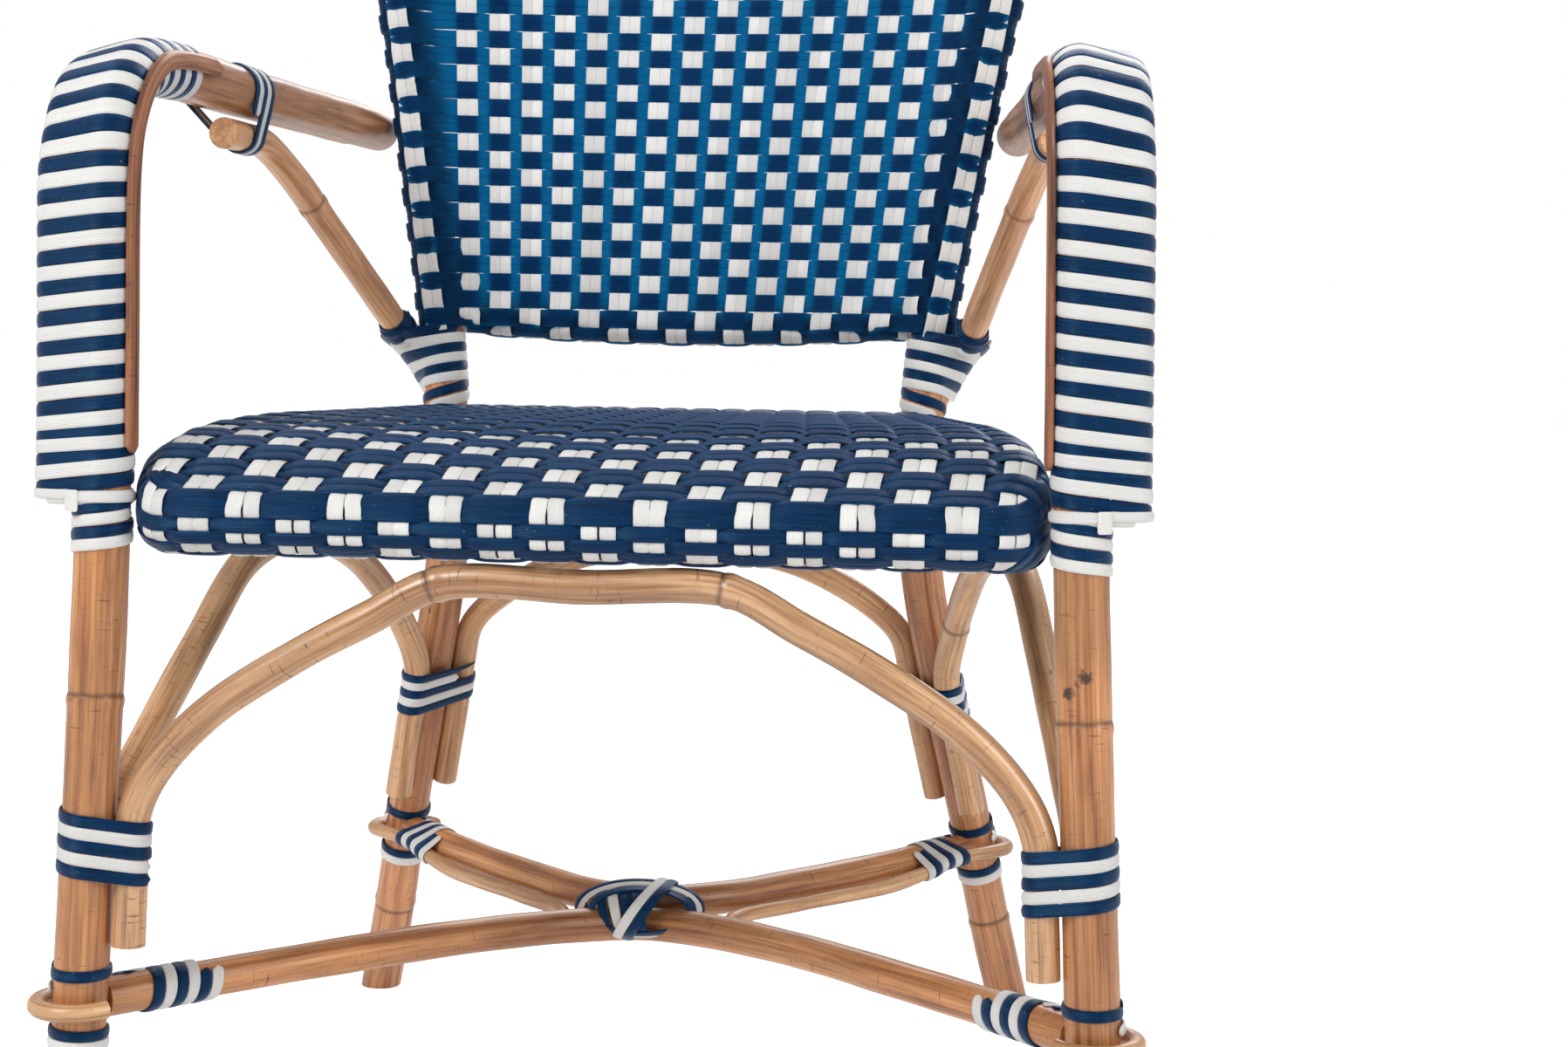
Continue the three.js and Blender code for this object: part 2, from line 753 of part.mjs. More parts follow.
// The seat's outline in plan, drawn in by some distance, anticlockwise from above. Each corner is an
// arc about a fixed centre, so that every outline lies at an even distance inside the next.
function seatOutline(inset, frontShift, cornerSteps, straightShares) {
  const quarter = Math.PI / 2;
  const across = seatFrontCorner.x - seatRearCorner.x;
  const back = seatRearCorner.y - seatFrontCorner.y;
  const radiusStep = seatCornerRadius - seatFrontCornerRadius;
  const sideAngle = Math.acos(radiusStep / Math.hypot(across, back)) - Math.atan2(back, across);
  const arc = (centre, radius, fromAngle, toAngle) => {
    const points = [];
    for (let i = 0; i <= cornerSteps; i += 1) {
      const angle = fromAngle + ((toAngle - fromAngle) * i) / cornerSteps;
      points.push({ x: centre.x + radius * Math.cos(angle), y: centre.y + radius * Math.sin(angle) });
    }
    return points;
  };
  const frontCorner = {
    x: seatFrontCorner.x - frontShift * Math.tan(sideAngle),
    y: seatFrontCorner.y + frontShift,
  };
  const frontArc = arc(frontCorner, seatFrontCornerRadius - inset, -quarter, sideAngle);
  const rearArc = arc(seatRearCorner, seatCornerRadius - inset, sideAngle, quarter);
  const flip = (points) => points.map((p) => ({ x: -p.x, y: p.y })).reverse();
  const between = (a, b, shares) =>
    shares.map((share) => ({ x: a.x + (b.x - a.x) * share, y: a.y + (b.y - a.y) * share }));
  const endShares = straightShares.length > 0 ? thirdShares : [];
  const sideRun = between(frontArc[cornerSteps], rearArc[0], straightShares);
  const frontRun = between(flip(frontArc)[cornerSteps], frontArc[0], endShares);
  const rearRun = between(rearArc[cornerSteps], flip(rearArc)[0], endShares);
  const right = [...frontArc, ...sideRun, ...rearArc];
  return [...right, ...rearRun, ...flip(right), ...frontRun];
}

// How far the seat's surface has dropped below its crest, on the way to the front edge.
function waterfall(y) {
  const start = seatFrontFace + seatRailInset * fallStartShare;
  const run = Math.min(Math.max(y - start, 0), seatCrestDepth);
  const end = Math.exp(-seatCrestDepth / seatFallLength);
  return (seatDrop * (Math.exp(-run / seatFallLength) - end)) / (1 - end);
}

function addSeatRails() {
  const rail = (z, frontShift) => {
    const loops = [];
    for (let k = 0; k < poleSides; k += 1) {
      const angle = (2 * Math.PI * k) / poleSides;
      const inset = seatRailInset - (seatPole / 2) * Math.cos(angle);
      const height = z + (seatPole / 2) * Math.sin(angle);
      loops.push(seatOutline(inset, frontShift, 4, []).map((p) => point(p.x, p.y, height)));
    }
    return tubeFromLoops(loops);
  };
  add("seat_lower_rail", rail(seatLowRailZ, 0), rattan);
  add("seat_upper_rail", rail(seatHighRailZ, seatCrestDepth), rattan);
}

// A closed ring-shaped solid from outlines that follow one another round its section.
function tubeFromLoops(loops) {
  const rings = loops[0].map((corner, i) => [corner, ...loops.slice(1).map((loop) => loop[i])].reverse());
  return solidFromRings(rings, true);
}

// The woven seat: an open tray over the two rails, rolled under at its lower edge.
function addSeatWeave() {
  const outerRadius = seatRailInset;
  const innerFlat = seatPole / 2 + cutGap;
  const eighth = Math.PI / 8;
  const cornerReach = innerFlat / Math.cos(eighth);
  const lipInset = seatRailInset + seatPole / 2;
  const cornerSteps = 4;
  const outline = (inset) => seatOutline(inset, 0, cornerSteps, seatSideShares);
  const at = (centreZ, radius, angle) => ({
    inset: seatRailInset - radius * Math.cos(angle),
    z: centreZ + radius * Math.sin(angle),
    high: centreZ === seatHighRailZ,
  });
  const outer = [
    { inset: lipInset, z: seatUnderside, high: false },
    at(seatLowRailZ, outerRadius, -Math.PI / 2),
    at(seatLowRailZ, outerRadius, -Math.PI / 4),
    at(seatLowRailZ, outerRadius, 0),
    at(seatHighRailZ, outerRadius, 0),
    at(seatHighRailZ, outerRadius, Math.PI / 6),
    at(seatHighRailZ, outerRadius, Math.PI / 3),
    at(seatHighRailZ, outerRadius, Math.PI / 2),
  ];
  const inner = [
    { inset: lipInset, z: seatUnderside + weaveThickness - cutGap, high: false },
    at(seatLowRailZ, cornerReach, -3 * eighth),
    at(seatLowRailZ, cornerReach, -eighth),
    at(seatHighRailZ, cornerReach, eighth),
    at(seatHighRailZ, cornerReach, 3 * eighth),
  ];
  const ringAt = ({ inset, z, high }) =>
    outline(inset).map((p) => point(p.x, p.y, high ? z - waterfall(p.y) : z));
  const topRing = (insetShare, under) =>
    outline(seatRailInset).map((p) => {
      const x = p.x * (1 - insetShare);
      const y = seatMiddleY + (p.y - seatMiddleY) * (1 - insetShare);
      const crown = seatCrown * (1 - (1 - insetShare) ** 2);
      return point(x, y, seatHeight - waterfall(y) + crown - under);
    });
  const outerRings = outer.map(ringAt);
  const innerRings = inner.map(ringAt);
  for (const insetShare of seatTopShares) {
    outerRings.push(topRing(insetShare, 0));
    innerRings.push(topRing(insetShare, weaveThickness));
  }
  const middle = point(0, seatMiddleY, seatHeight + seatCrown);
  const under = point(0, seatMiddleY, seatHeight + seatCrown - weaveThickness);
  add("seat_weave", closedStack([...innerRings.reverse(), ...outerRings], under, middle), navy);
}

// A solid from rings that follow one another, closed by a point within each end ring.
function closedStack(rings, firstPoint, lastPoint) {
  const body = solidFromRings(rings);
  const count = rings[0].length;
  const last = (rings.length - 1) * count;
  const index = Array.from(body.index.array).slice(0, last * 6);
  const middle = rings.length * count;
  for (let k = 0; k < count; k += 1) {
    const after = (k + 1) % count;
    index.push(middle, after, k);
    index.push(middle + 1, last + k, last + after);
  }
  const positions = [...rings.flat(), firstPoint, lastPoint].flatMap((p) => [p.x, p.y, p.z]);
  const geometry = new THREE.BufferGeometry();
  geometry.setAttribute("position", new THREE.Float32BufferAttribute(positions, 3));
  geometry.setIndex(index);
  return geometry;
}

// Arches

const archOffset = mainPole / 2 + archPole / 2 + seatGap;
const rearArchOffset = mainPole / 2 + rearArchPole / 2 + seatGap;

const frontArchCurve = (() => {
  const riseTo = (riseShare) => archBoundZ + (archTopZ - archBoundZ) * riseShare;
  const shoulderZ = riseTo(archShoulderShare);
  const besideLeg = (z) => {
    const leg = frontLegAt(z);
    return point(leg.x - archOffset - 2 * seatGap, leg.y, z);
  };
  return symmetricCurve([
    besideLeg(archEndZ),
    besideLeg((archEndZ + archBoundZ) / 2),
    besideLeg(archBoundZ),
    point(archHipX, 0, riseTo(archHipShare)),
    point(archHaunchX, 0, riseTo(archHaunchShare)),
    point(archShoulderX, 0, shoulderZ),
    point((archFlatHalf + archShoulderX) / 2, 0, (archTopZ + shoulderZ) / 2 + nodeSwell),
    point(archFlatHalf, 0, archTopZ),
    point(0, 0, archTopZ),
  ]);
})();

const rearArchCurve = (() => {
  const aside = Math.sqrt(rearArchOffset ** 2 - rearArchBehind ** 2);
  const besideLeg = (z) => {
    const leg = rearLegAt(z);
    return point(leg.x - aside, leg.y + rearArchBehind, z);
  };
  const bound = besideLeg(rearBindTopZ);
  const top = rearArchTopZ;
  const topY = rearLegAt(top).y + rearArchBehind;
  const fall = top - rearBindTopZ;
  const between = ([acrossShare, dropShare]) =>
    point(
      rearArchFlatHalf + (bound.x - rearArchFlatHalf) * acrossShare,
      topY + (bound.y - topY) * dropShare,
      top - fall * dropShare,
    );
  return symmetricCurve([
    besideLeg(rearArchEndZ),
    besideLeg((rearArchEndZ + rearBindTopZ) / 2),
    bound,
    ...rearArchShares.map(between),
    point(rearArchFlatHalf, topY, top),
    point(0, topY, top),
  ]);
})();

// Each side arch springs from the front of the rear leg and ends behind the front leg.
const sideArchCurve = (() => {
  const towards = (z) => {
    const front = frontLegAt(z);
    const rear = rearLegAt(z);
    return { front, rear, way: front.clone().sub(rear).setZ(0).normalize() };
  };
  const byRear = (z) => {
    const { rear, way } = towards(z);
    return rear.clone().addScaledVector(way, archOffset + 2 * seatGap).setZ(z);
  };
  const byFront = (z) => {
    const { front, way } = towards(z);
    return front.clone().addScaledVector(way, -archOffset - 2 * seatGap).setZ(z);
  };
  const low = byRear(rearBindTopZ);
  const far = byFront(archBoundZ);
  const along = (share, z) => low.clone().lerp(far, share).setZ(z);
  const rise = sideArchTopZ - rearBindTopZ;
  const fall = sideArchTopZ - archBoundZ;
  return curveThrough([
    byRear(sideArchRearEndZ),
    byRear((sideArchRearEndZ + rearBindTopZ) / 2),
    low,
    ...sideRiseShares.map(([share, riseShare]) => along(share, rearBindTopZ + rise * riseShare)),
    along(sideCrownShare, sideArchTopZ),
    ...sideFallShares.map(([share, fallShare]) => along(share, sideArchTopZ - fall * fallShare)),
    far,
    byFront((archBoundZ + sideArchFrontEndZ) / 2),
    byFront(sideArchFrontEndZ),
  ]);
})();

function addArches() {
  add(
    "front_arch",
    pole({ curve: frontArchCurve, diameter: archPole, reference: axisY, nodes: frontArchNodeShares }),
    paleRattan,
  );
  add(
    "rear_arch",
    pole({ curve: rearArchCurve, diameter: rearArchPole, reference: axisY }),
    paleRattan,
  );
  addPair(
    "side_arch",
    pole({ curve: sideArchCurve, diameter: archPole, reference: axisX, nodes: sideArchNodeShares }),
    paleRattan,
  );
}

// Braces from the back posts up to the arms

const braceCurve = (() => {
  const reach = mainPole / 2 + bracePole / 2 + seatGap;
  const low = rearLegAt(postBindLowZ);
  const x = low.x + reach + seatGap;
  const under = armAxisZ - mainPole / 2 - bracePole / 2 - 2 * braceDrop;
  const armX = (y) => frontLegCurve.getPointAt(armShareAt(y)).x;
  const meetY = low.y - braceReach;
  const bend = point(x + 4 * braceDrop, low.y - bracePole / 2, braceBendZ);
  const meet = point(armX(meetY), meetY, under);
  return curveThrough([
    point(x, low.y, postBindLowZ),
    point(x + braceDrop, low.y - braceDrop, (postBindLowZ + 2 * braceBendZ) / 3),
    bend,
    ...braceShares.map((share) => bend.clone().lerp(meet, share)),
    point(armX(meetY - bracePole / 2), meetY - bracePole / 2, under - braceDrop),
    point(armX(meetY - 2 * bracePole), meetY - 2 * bracePole, under),
    point(armX(meetY - 4 * bracePole), meetY - 4 * bracePole, under),
  ]);
})();

function addBraces() {
  const nodes = braceNodeShares;
  const brace = pole({ curve: braceCurve, diameter: bracePole, reference: axisX, nodes });
  addPair("arm_brace", brace, rattan);
}

// Stretchers: two bows that touch in the middle, and a thin cane looped round the legs on each side

const bowSpacing = archPole / 2 + seatGap / 2;
const rearBowCurve = (() => {
  const leg = rearLegAt(stretcherZ);
  const middle = stretcherMiddleY + bowSpacing;
  return symmetricCurve(
    rearBowShares.map(([acrossShare, backShare]) =>
      point(leg.x * acrossShare, middle + (leg.y - middle) * backShare, stretcherZ),
    ),
  );
})();
const frontBowCurve = (() => {
  const leg = frontLegAt(stretcherZ);
  const middle = stretcherMiddleY - bowSpacing;
  return symmetricCurve(
    frontBowShares.map(([acrossShare, forwardShare]) =>
      point(leg.x * acrossShare, middle + (leg.y - middle) * forwardShare, stretcherZ),
    ),
  );
})();

const loopOffset = archPole / 2 + loopPole / 2 + seatGap;
const loopCurve = (() => {
  const around = mainPole / 2 + loopPole / 2 + seatGap + legLean;
  const beside = (curve, share, sign) => {
    const { at, third } = frameAt(curve, share, axisZ);
    return at.addScaledVector(third, sign * loopOffset);
  };
  const round = (leg, from, to) => {
    const spans = 6;
    const points = [];
    for (let i = 0; i <= spans; i += 1) {
      const angle = THREE.MathUtils.degToRad(from + ((to - from) * i) / spans);
      const x = leg.x + around * Math.cos(angle);
      points.push(point(x, leg.y + around * Math.sin(angle), stretcherZ));
    }
    return points;
  };
  return curveThrough([
    ...round(rearLegAt(stretcherZ), loopHookAngle, loopRunAngle),
    ...loopRunShares.map((share) => beside(rearBowCurve, share, -1)),
    point(loopBendX, stretcherMiddleY, stretcherZ),
    ...loopRunShares.map((share) => beside(frontBowCurve, share, 1)).reverse(),
    ...round(frontLegAt(stretcherZ), -loopRunAngle, -loopHookAngle),
  ]);
})();

function addStretchers() {
  const rearLegs = rearHoopPole(cutGap);
  const frontLeg = frontLegPole(cutGap);
  const bow = (curve) => pole({ curve, diameter: archPole, reference: axisZ });
  add("stretcher_rear_bow", cut(bow(rearBowCurve), rearLegs), rattan);
  add("stretcher_front_bow", cut(bow(frontBowCurve), frontLeg, mirrored(frontLeg)), rattan);
  addPair(
    "stretcher_loop_cane",
    pole({ curve: loopCurve, diameter: loopPole, reference: axisZ, sides: 6 }),
    paleRattan,
  );
}

// A flat-backed cane along the inner side of each wrapped arm.
function addArmEdgeCanes() {
  const length = frontLegCurve.getLength();
  const first = distanceAtHeight(frontLegCurve, edgeCaneLowZ) / length;
  const last = (armWrapStart + armStripPitch * (armWrapLoops + 1)) / length;
  const foot = mainPole / 2 + stripGap + stripThickness + stripGap;
  const steps = 16;
  const rings = [];
  for (let i = 0; i <= steps; i += 1) {
    const { at, side, third } = frameAt(frontLegCurve, first + ((last - first) * i) / steps, axisX);
    const place = (out, across) =>
      at.clone().addScaledVector(side, -foot - out).addScaledVector(third, across);
    rings.push([
      place(0, edgeCaneWidth / 2),
      place(0, -edgeCaneWidth / 2),
      place(edgeCaneThickness * edgeCaneShoulderShare, -edgeCaneWidth / 3),
      place(edgeCaneThickness, 0),
      place(edgeCaneThickness * edgeCaneShoulderShare, edgeCaneWidth / 3),
    ]);
  }
  addPair("arm_edge_cane", solidFromRings(rings.map((ring) => ring.reverse())), darkRattan);
}

// Bindings. Each has a navy strip and a white strip, half a pitch apart.
function bind(name, side, settings) {
  const { pitch, navyLoops, whiteLoops, whiteFirst = false, ...rest } = settings;
  const navyStart = settings.start + (whiteFirst ? pitch / 2 : 0);
  const whiteStart = settings.start + (whiteFirst ? 0 : pitch / 2);
  const make = side === "pair" ? addPair : add;
  make(
    name + "_navy",
    winding({ ...rest, name: name + "_navy", pitch, start: navyStart, loops: navyLoops }),
    navy,
  );
  make(
    name + "_white",
    winding({ ...rest, name: name + "_white", pitch, start: whiteStart, loops: whiteLoops }),
    white,
  );
}

function addBindings() {
  const leg = { curve: frontLegCurve, diameter: mainPole };
  const outerArm = { curve: armOuterCurve, diameter: armOuterPole };
  const rearPost = { curve: rearHoopCurve, diameter: mainPole };
  const frontArch = { curve: frontArchCurve, diameter: archPole };
  const rearArch = { curve: rearArchCurve, diameter: rearArchPole };
  const sideArch = { curve: sideArchCurve, diameter: archPole };
  const brace = { curve: braceCurve, diameter: bracePole };
  const frontBow = { curve: frontBowCurve, diameter: archPole };
  const rearBow = { curve: rearBowCurve, diameter: archPole };
  const loop = { curve: loopCurve, diameter: loopPole };
  bind("arm_wrap", "pair", {
    members: [leg, outerArm],
    along: frontLegCurve,
    reference: axisX,
    start: armWrapStart,
    pitch: armStripPitch,
    navyLoops: armWrapLoops,
    whiteLoops: armWrapLoops,
    width: armStripWidth,
    facets: 8,
  });
  bind("seat_corner_binding", "pair", {
    members: [leg],
    along: frontLegCurve,
    reference: axisX,
    start: distanceAtHeight(frontLegCurve, cornerBindTopZ - 2 * cornerStripPitch),
    pitch: cornerStripPitch,
    navyLoops: 1.5,
    whiteLoops: 1.5,
    width: cornerStripWidth,
    facets: 8,
    phase: Math.PI,
    whiteFirst: true,
  });
  bind("front_arch_binding", "pair", {
    members: [leg, frontArch, sideArch],
    along: frontLegCurve,
    reference: axisX,
    start: distanceAtHeight(frontLegCurve, archBindTopZ - 2.5 * archStripPitch),
    pitch: archStripPitch,
    navyLoops: 2.5,
    whiteLoops: 1.5,
    width: archStripWidth,
    facets: 8,
    phase: Math.PI / 8,
  });
  bind("rear_leg_binding", "pair", {
    members: [rearPost, rearArch, sideArch],
    along: rearHoopCurve,
    reference: axisX,
    start: distanceAtHeight(rearHoopCurve, rearBindTopZ - 2.5 * rearStripPitch),
    pitch: rearStripPitch,
    navyLoops: 2.5,
    whiteLoops: 1.5,
    width: rearStripWidth,
    facets: 8,
  });
  bind("back_post_binding", "pair", {
    members: [rearPost, brace],
    along: rearHoopCurve,
    reference: axisX,
    start: distanceAtHeight(rearHoopCurve, postBindLowZ),
    pitch: postStripPitch,
    navyLoops: 2.5,
    whiteLoops: 2.5,
    width: postStripWidth,
    facets: 8,
    phase: Math.PI / 8,
  });
  bind("brace_top_binding", "pair", {
    members: [leg, outerArm, brace],
    along: braceCurve,
    reference: axisX,
    start: braceCurve.getLength() - braceBindFromTop,
    pitch: braceStripPitch,
    navyLoops: 2.5,
    whiteLoops: 1.5,
    width: braceStripWidth,
    facets: 6,
  });
  bind("rear_stretcher_binding", "pair", {
    members: [rearBow, loop],
    along: rearBowCurve,
    reference: axisZ,
    start: stretcherBindFromLeg,
    pitch: stretcherStripPitch,
    navyLoops: 2.5,
    whiteLoops: 2.5,
    width: stretcherStripWidth,
    facets: 6,
  });
  bind("front_stretcher_binding", "pair", {
    members: [frontBow, loop],
    along: frontBowCurve,
    reference: axisZ,
    start: stretcherBindFromLeg,
    pitch: stretcherStripPitch,
    navyLoops: 2.5,
    whiteLoops: 2.5,
    width: stretcherStripWidth,
    facets: 6,
  });
  const across = 2.5 * crossStripPitch;
  const crossLine = new THREE.LineCurve3(
    point(-across, stretcherMiddleY, stretcherZ),
    point(across, stretcherMiddleY, stretcherZ),
  );
  bind("stretcher_crossing_binding", "one", {
    members: [frontBow, rearBow],
    along: crossLine,
    reference: axisZ,
    start: 0,
    pitch: crossStripPitch,
    navyLoops: 4.5,
    whiteLoops: 4.5,
    width: crossStripWidth,
    facets: 6,
  });
}

addLegsAndArms();
addRearHoop();
addBackWeave();
addSeatRails();
addSeatWeave();
addArches();
addBraces();
addStretchers();
addArmEdgeCanes();
addBindings();

// The footprint's centre goes to the origin.
const box = new THREE.Box3().setFromObject(chair);
chair.position.y = -(box.min.y + box.max.y) / 2;

export default chair;
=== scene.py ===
import math

import bpy
import numpy as np
from mathutils import Matrix


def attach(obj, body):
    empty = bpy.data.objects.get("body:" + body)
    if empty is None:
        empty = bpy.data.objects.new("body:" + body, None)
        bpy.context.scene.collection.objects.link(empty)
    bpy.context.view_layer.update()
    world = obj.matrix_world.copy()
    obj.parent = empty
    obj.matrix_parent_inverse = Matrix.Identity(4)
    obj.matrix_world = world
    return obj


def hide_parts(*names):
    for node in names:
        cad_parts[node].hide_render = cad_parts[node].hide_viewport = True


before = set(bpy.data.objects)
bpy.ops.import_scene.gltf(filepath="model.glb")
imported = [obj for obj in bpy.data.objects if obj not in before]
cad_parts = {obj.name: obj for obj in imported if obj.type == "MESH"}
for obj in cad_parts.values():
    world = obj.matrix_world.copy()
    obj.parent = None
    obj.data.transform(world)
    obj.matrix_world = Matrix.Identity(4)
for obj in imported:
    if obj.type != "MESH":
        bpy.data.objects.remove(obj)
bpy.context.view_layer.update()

# All lengths below are millimetres, with Y measured backwards from the plane of the front legs.
MM = 0.001
FOOTPRINT_MIDDLE = 253.766
BODY = "root"
UP = np.array([0.0, 0.0, 1.0])
AXIS_X = np.array([1.0, 0.0, 0.0])
AXIS_Y = np.array([0.0, 1.0, 0.0])
FLIP = np.array([-1, 1, 1])
rng = np.random.default_rng(7)

MAIN_POLE = 30.0
ARM_OUTER_POLE = 20.0
ARCH_POLE = 19.0
REAR_ARCH_POLE = 18.0
BRACE_POLE = 19.0
BACK_RAIL_POLE = 20.0
LOOP_POLE = 10.0
BOW_POLE = 22.0
SEAT_GAP = 0.4
STRIP_GAP = 0.42
STRIP_THICKNESS = 1.3
ARM_TOP_Z, BACK_TOP_Z = 672, 886
# Where the arm's wrap begins in the frame's solids, and its pitch there
SOLID_WRAP_Z, SOLID_WRAP_PITCH = 424.0, 16.2


# Curves

def unit(v):
    return v / np.linalg.norm(v, axis=-1, keepdims=True)


def run_lengths(points):
    """Distance along a line of points, at each of them."""
    return np.concatenate([[0], np.cumsum(np.linalg.norm(np.diff(points, axis=0), axis=1))])


def read_along(wanted, lengths, values):
    """Rows of values at the wanted distances, when they are known at lengths."""
    return np.stack([np.interp(wanted, lengths, column) for column in values.T], -1)


class Curve:
    """A centripetal curve through points, read by distance along it."""

    def __init__(self, points, samples=60):
        points = [np.array(p, float) for p in points]
        dense = [points[0][None]]
        for i in range(len(points) - 1):
            p1, p2 = points[i], points[i + 1]
            p0 = points[i - 1] if i else 2 * p1 - p2
            p3 = points[i + 2] if i + 2 < len(points) else 2 * p2 - p1
            d0, d1, d2 = (np.sum((b - a) ** 2) ** 0.25 for a, b in ((p0, p1), (p1, p2), (p2, p3)))
            m1 = ((p1 - p0) / d0 - (p2 - p0) / (d0 + d1) + (p2 - p1) / d1) * d1
            m2 = ((p2 - p1) / d1 - (p3 - p1) / (d1 + d2) + (p3 - p2) / d2) * d1
            t = np.linspace(0, 1, samples + 1)[1:, None]
            bend = 3 * (p2 - p1) - 2 * m1 - m2
            twist = 2 * (p1 - p2) + m1 + m2
            dense.append(p1 + m1 * t + bend * t ** 2 + twist * t ** 3)
        self.path = np.vstack(dense)
        self.distances = run_lengths(self.path)
        self.length = float(self.distances[-1])

    def at(self, distance):
        return read_along(np.atleast_1d(distance), self.distances, self.path)

    def tangent(self, distance, reach=1.5):
        d = np.atleast_1d(np.asarray(distance, float))
        low = np.clip(d - reach, 0, self.length - 2 * reach)
        return unit(self.at(low + 2 * reach) - self.at(low))

    def frames(self, distance, reference):
        at = self.at(distance)
        tangent = self.tangent(distance)
        side = unit(reference - tangent * (tangent @ reference)[:, None])
        return at, tangent, side, np.cross(tangent, side)

    def share_at_height(self, z, steps=400):
        heights = self.at(np.linspace(0, 1, steps + 1) * self.length)[:, 2]
        i = int(np.argmax(heights >= z))
        return (i - (heights[i] - z) / (heights[i] - heights[i - 1])) / steps

    def distance_at_height(self, z):
        return self.share_at_height(z) * self.length

    def at_height(self, z):
        return self.at(self.distance_at_height(z))[0]


def symmetric(right):
    """A whole curve from the points of its right half."""
    right = [np.array(p, float) for p in right]
    left = [p * FLIP for p in reversed(right)]
    return Curve(right + (left[1:] if right[-1][0] == 0 else left))


# Front leg and arm
ARM_AXIS_Z = ARM_TOP_Z - STRIP_THICKNESS - STRIP_GAP - MAIN_POLE / 2
ARM_BEND = 64.0
BEND_START_Z = ARM_AXIS_Z - ARM_BEND
BEND_INWARD = 0.12
ARM_FRONT = (264.5, 2.0)
ARM_REAR = (234.504, 470.0, 655.3)
LEG_FOOT, LEG_AT_SEAT = (286.5, -8, 0), (267.7, 0, 384)


def halfway(a, b):
    return tuple((p + q) / 2 for p, q in zip(a, b))


def front_leg_points():
    top = (*ARM_FRONT, BEND_START_Z)
    points = [LEG_FOOT, halfway(LEG_FOOT, LEG_AT_SEAT), LEG_AT_SEAT, halfway(LEG_AT_SEAT, top), top]
    for quarter in (0.25, 0.5, 0.75, 1.0):
        turn = math.pi / 2 * quarter
        points.append((
            ARM_FRONT[0] + (ARM_REAR[0] - ARM_FRONT[0]) * BEND_INWARD * quarter,
            ARM_FRONT[1] + ARM_BEND * (1 - math.cos(turn)),
            BEND_START_Z + ARM_BEND * math.sin(turn),
        ))
    return points + [halfway((*ARM_FRONT, ARM_AXIS_Z), ARM_REAR), ARM_REAR]


front_leg = Curve(front_leg_points())


def outer_arm_curve():
    first = front_leg.share_at_height(SOLID_WRAP_Z - SOLID_WRAP_PITCH / 2 + STRIP_GAP)
    shares = np.linspace(first, 1, 16)
    at, _, side, _ = front_leg.frames(shares * front_leg.length, AXIS_X)
    return Curve(at + side * (MAIN_POLE / 2 + ARM_OUTER_POLE / 2 + SEAT_GAP))


outer_arm = outer_arm_curve()


# Rear legs, posts and hoop
POST_HALF_WIDTH, POST_DEPTH = 171.5, 419
POST_LEAN_Z, POST_SPREAD, POST_LEAN = 492, 0.178, 0.205
BACK_HOLLOW = 26


def post_half_width(z):
    return POST_HALF_WIDTH + np.maximum(0, np.asarray(z, float) - POST_LEAN_Z) * POST_SPREAD


def post_depth(z):
    return POST_DEPTH + np.maximum(0, np.asarray(z, float) - POST_LEAN_Z) * POST_LEAN


def back_depth(x, z):
    """How far back the hollow of the back's middle sheet lies."""
    share = np.minimum(1, np.abs(x) / post_half_width(z))
    return post_depth(z) + BACK_HOLLOW * (1 - share * share)


HOOP_TOP_Z = BACK_TOP_Z - 3 - 0.3 - MAIN_POLE / 2
HOOP_CORNER = 92.0
HOOP_CORNER_Z = HOOP_TOP_Z - HOOP_CORNER
HOOP_CORNER_X = float(post_half_width(HOOP_CORNER_Z)) - HOOP_CORNER


def hoop_points():
    right = [
        (244, 518, 0), (228, 498, 70), (210.3, 473, 158), (190.5, 447, 250),
        (172.6, 427, 345), (POST_HALF_WIDTH, POST_DEPTH, 420), (POST_HALF_WIDTH, POST_DEPTH, 456),
    ]
    for rise in (0.16, 0.45, 0.75):
        z = POST_LEAN_Z + (HOOP_CORNER_Z - POST_LEAN_Z) * rise
        right.append((float(post_half_width(z)), float(post_depth(z)), z))
    for turn in np.linspace(0, math.pi / 2, 5):
        x = HOOP_CORNER_X + HOOP_CORNER * math.cos(turn)
        z = HOOP_CORNER_Z + HOOP_CORNER * math.sin(turn)
        right.append((x, float(back_depth(x, z)), z))
    for x in (HOOP_CORNER_X / 2, 0):
        right.append((x, float(back_depth(x, HOOP_TOP_Z)), HOOP_TOP_Z))
    return right


hoop = symmetric(hoop_points())


# Height of the back's lower edge at the posts, and how much lower its middle hangs
BACK_EDGE_Z, BACK_EDGE_SAG = 507, 7


def rail_z(x):
    share = np.minimum(1, np.abs(x) / POST_HALF_WIDTH)
    return BACK_EDGE_Z - BACK_EDGE_SAG * (1 - share * share) + 3.3 + BACK_RAIL_POLE / 2


def back_rail_curve():
    widest = float(post_half_width(rail_z(POST_HALF_WIDTH)))
    xs = [widest * share for share in (1, 0.75, 0.5, 0.25, 0)]
    return symmetric([(x, float(back_depth(x, rail_z(x))), float(rail_z(x))) for x in xs])


back_rail = back_rail_curve()

# Arches
ARCH_OFFSET = MAIN_POLE / 2 + ARCH_POLE / 2 + SEAT_GAP


def front_arch_curve():
    top, bend = 371.5, 330.6

    def beside(z):
        leg = front_leg.at_height(z)
        return (leg[0] - ARCH_OFFSET - 2 * SEAT_GAP, leg[1], z)
    return symmetric([
        beside(166), beside(203), beside(240), (237, 0, 266), (206, 0, 298.5), (157, 0, bend),
        (118, 0, (top + bend) / 2 + 0.7), (79, 0, top), (0, 0, top),
    ])


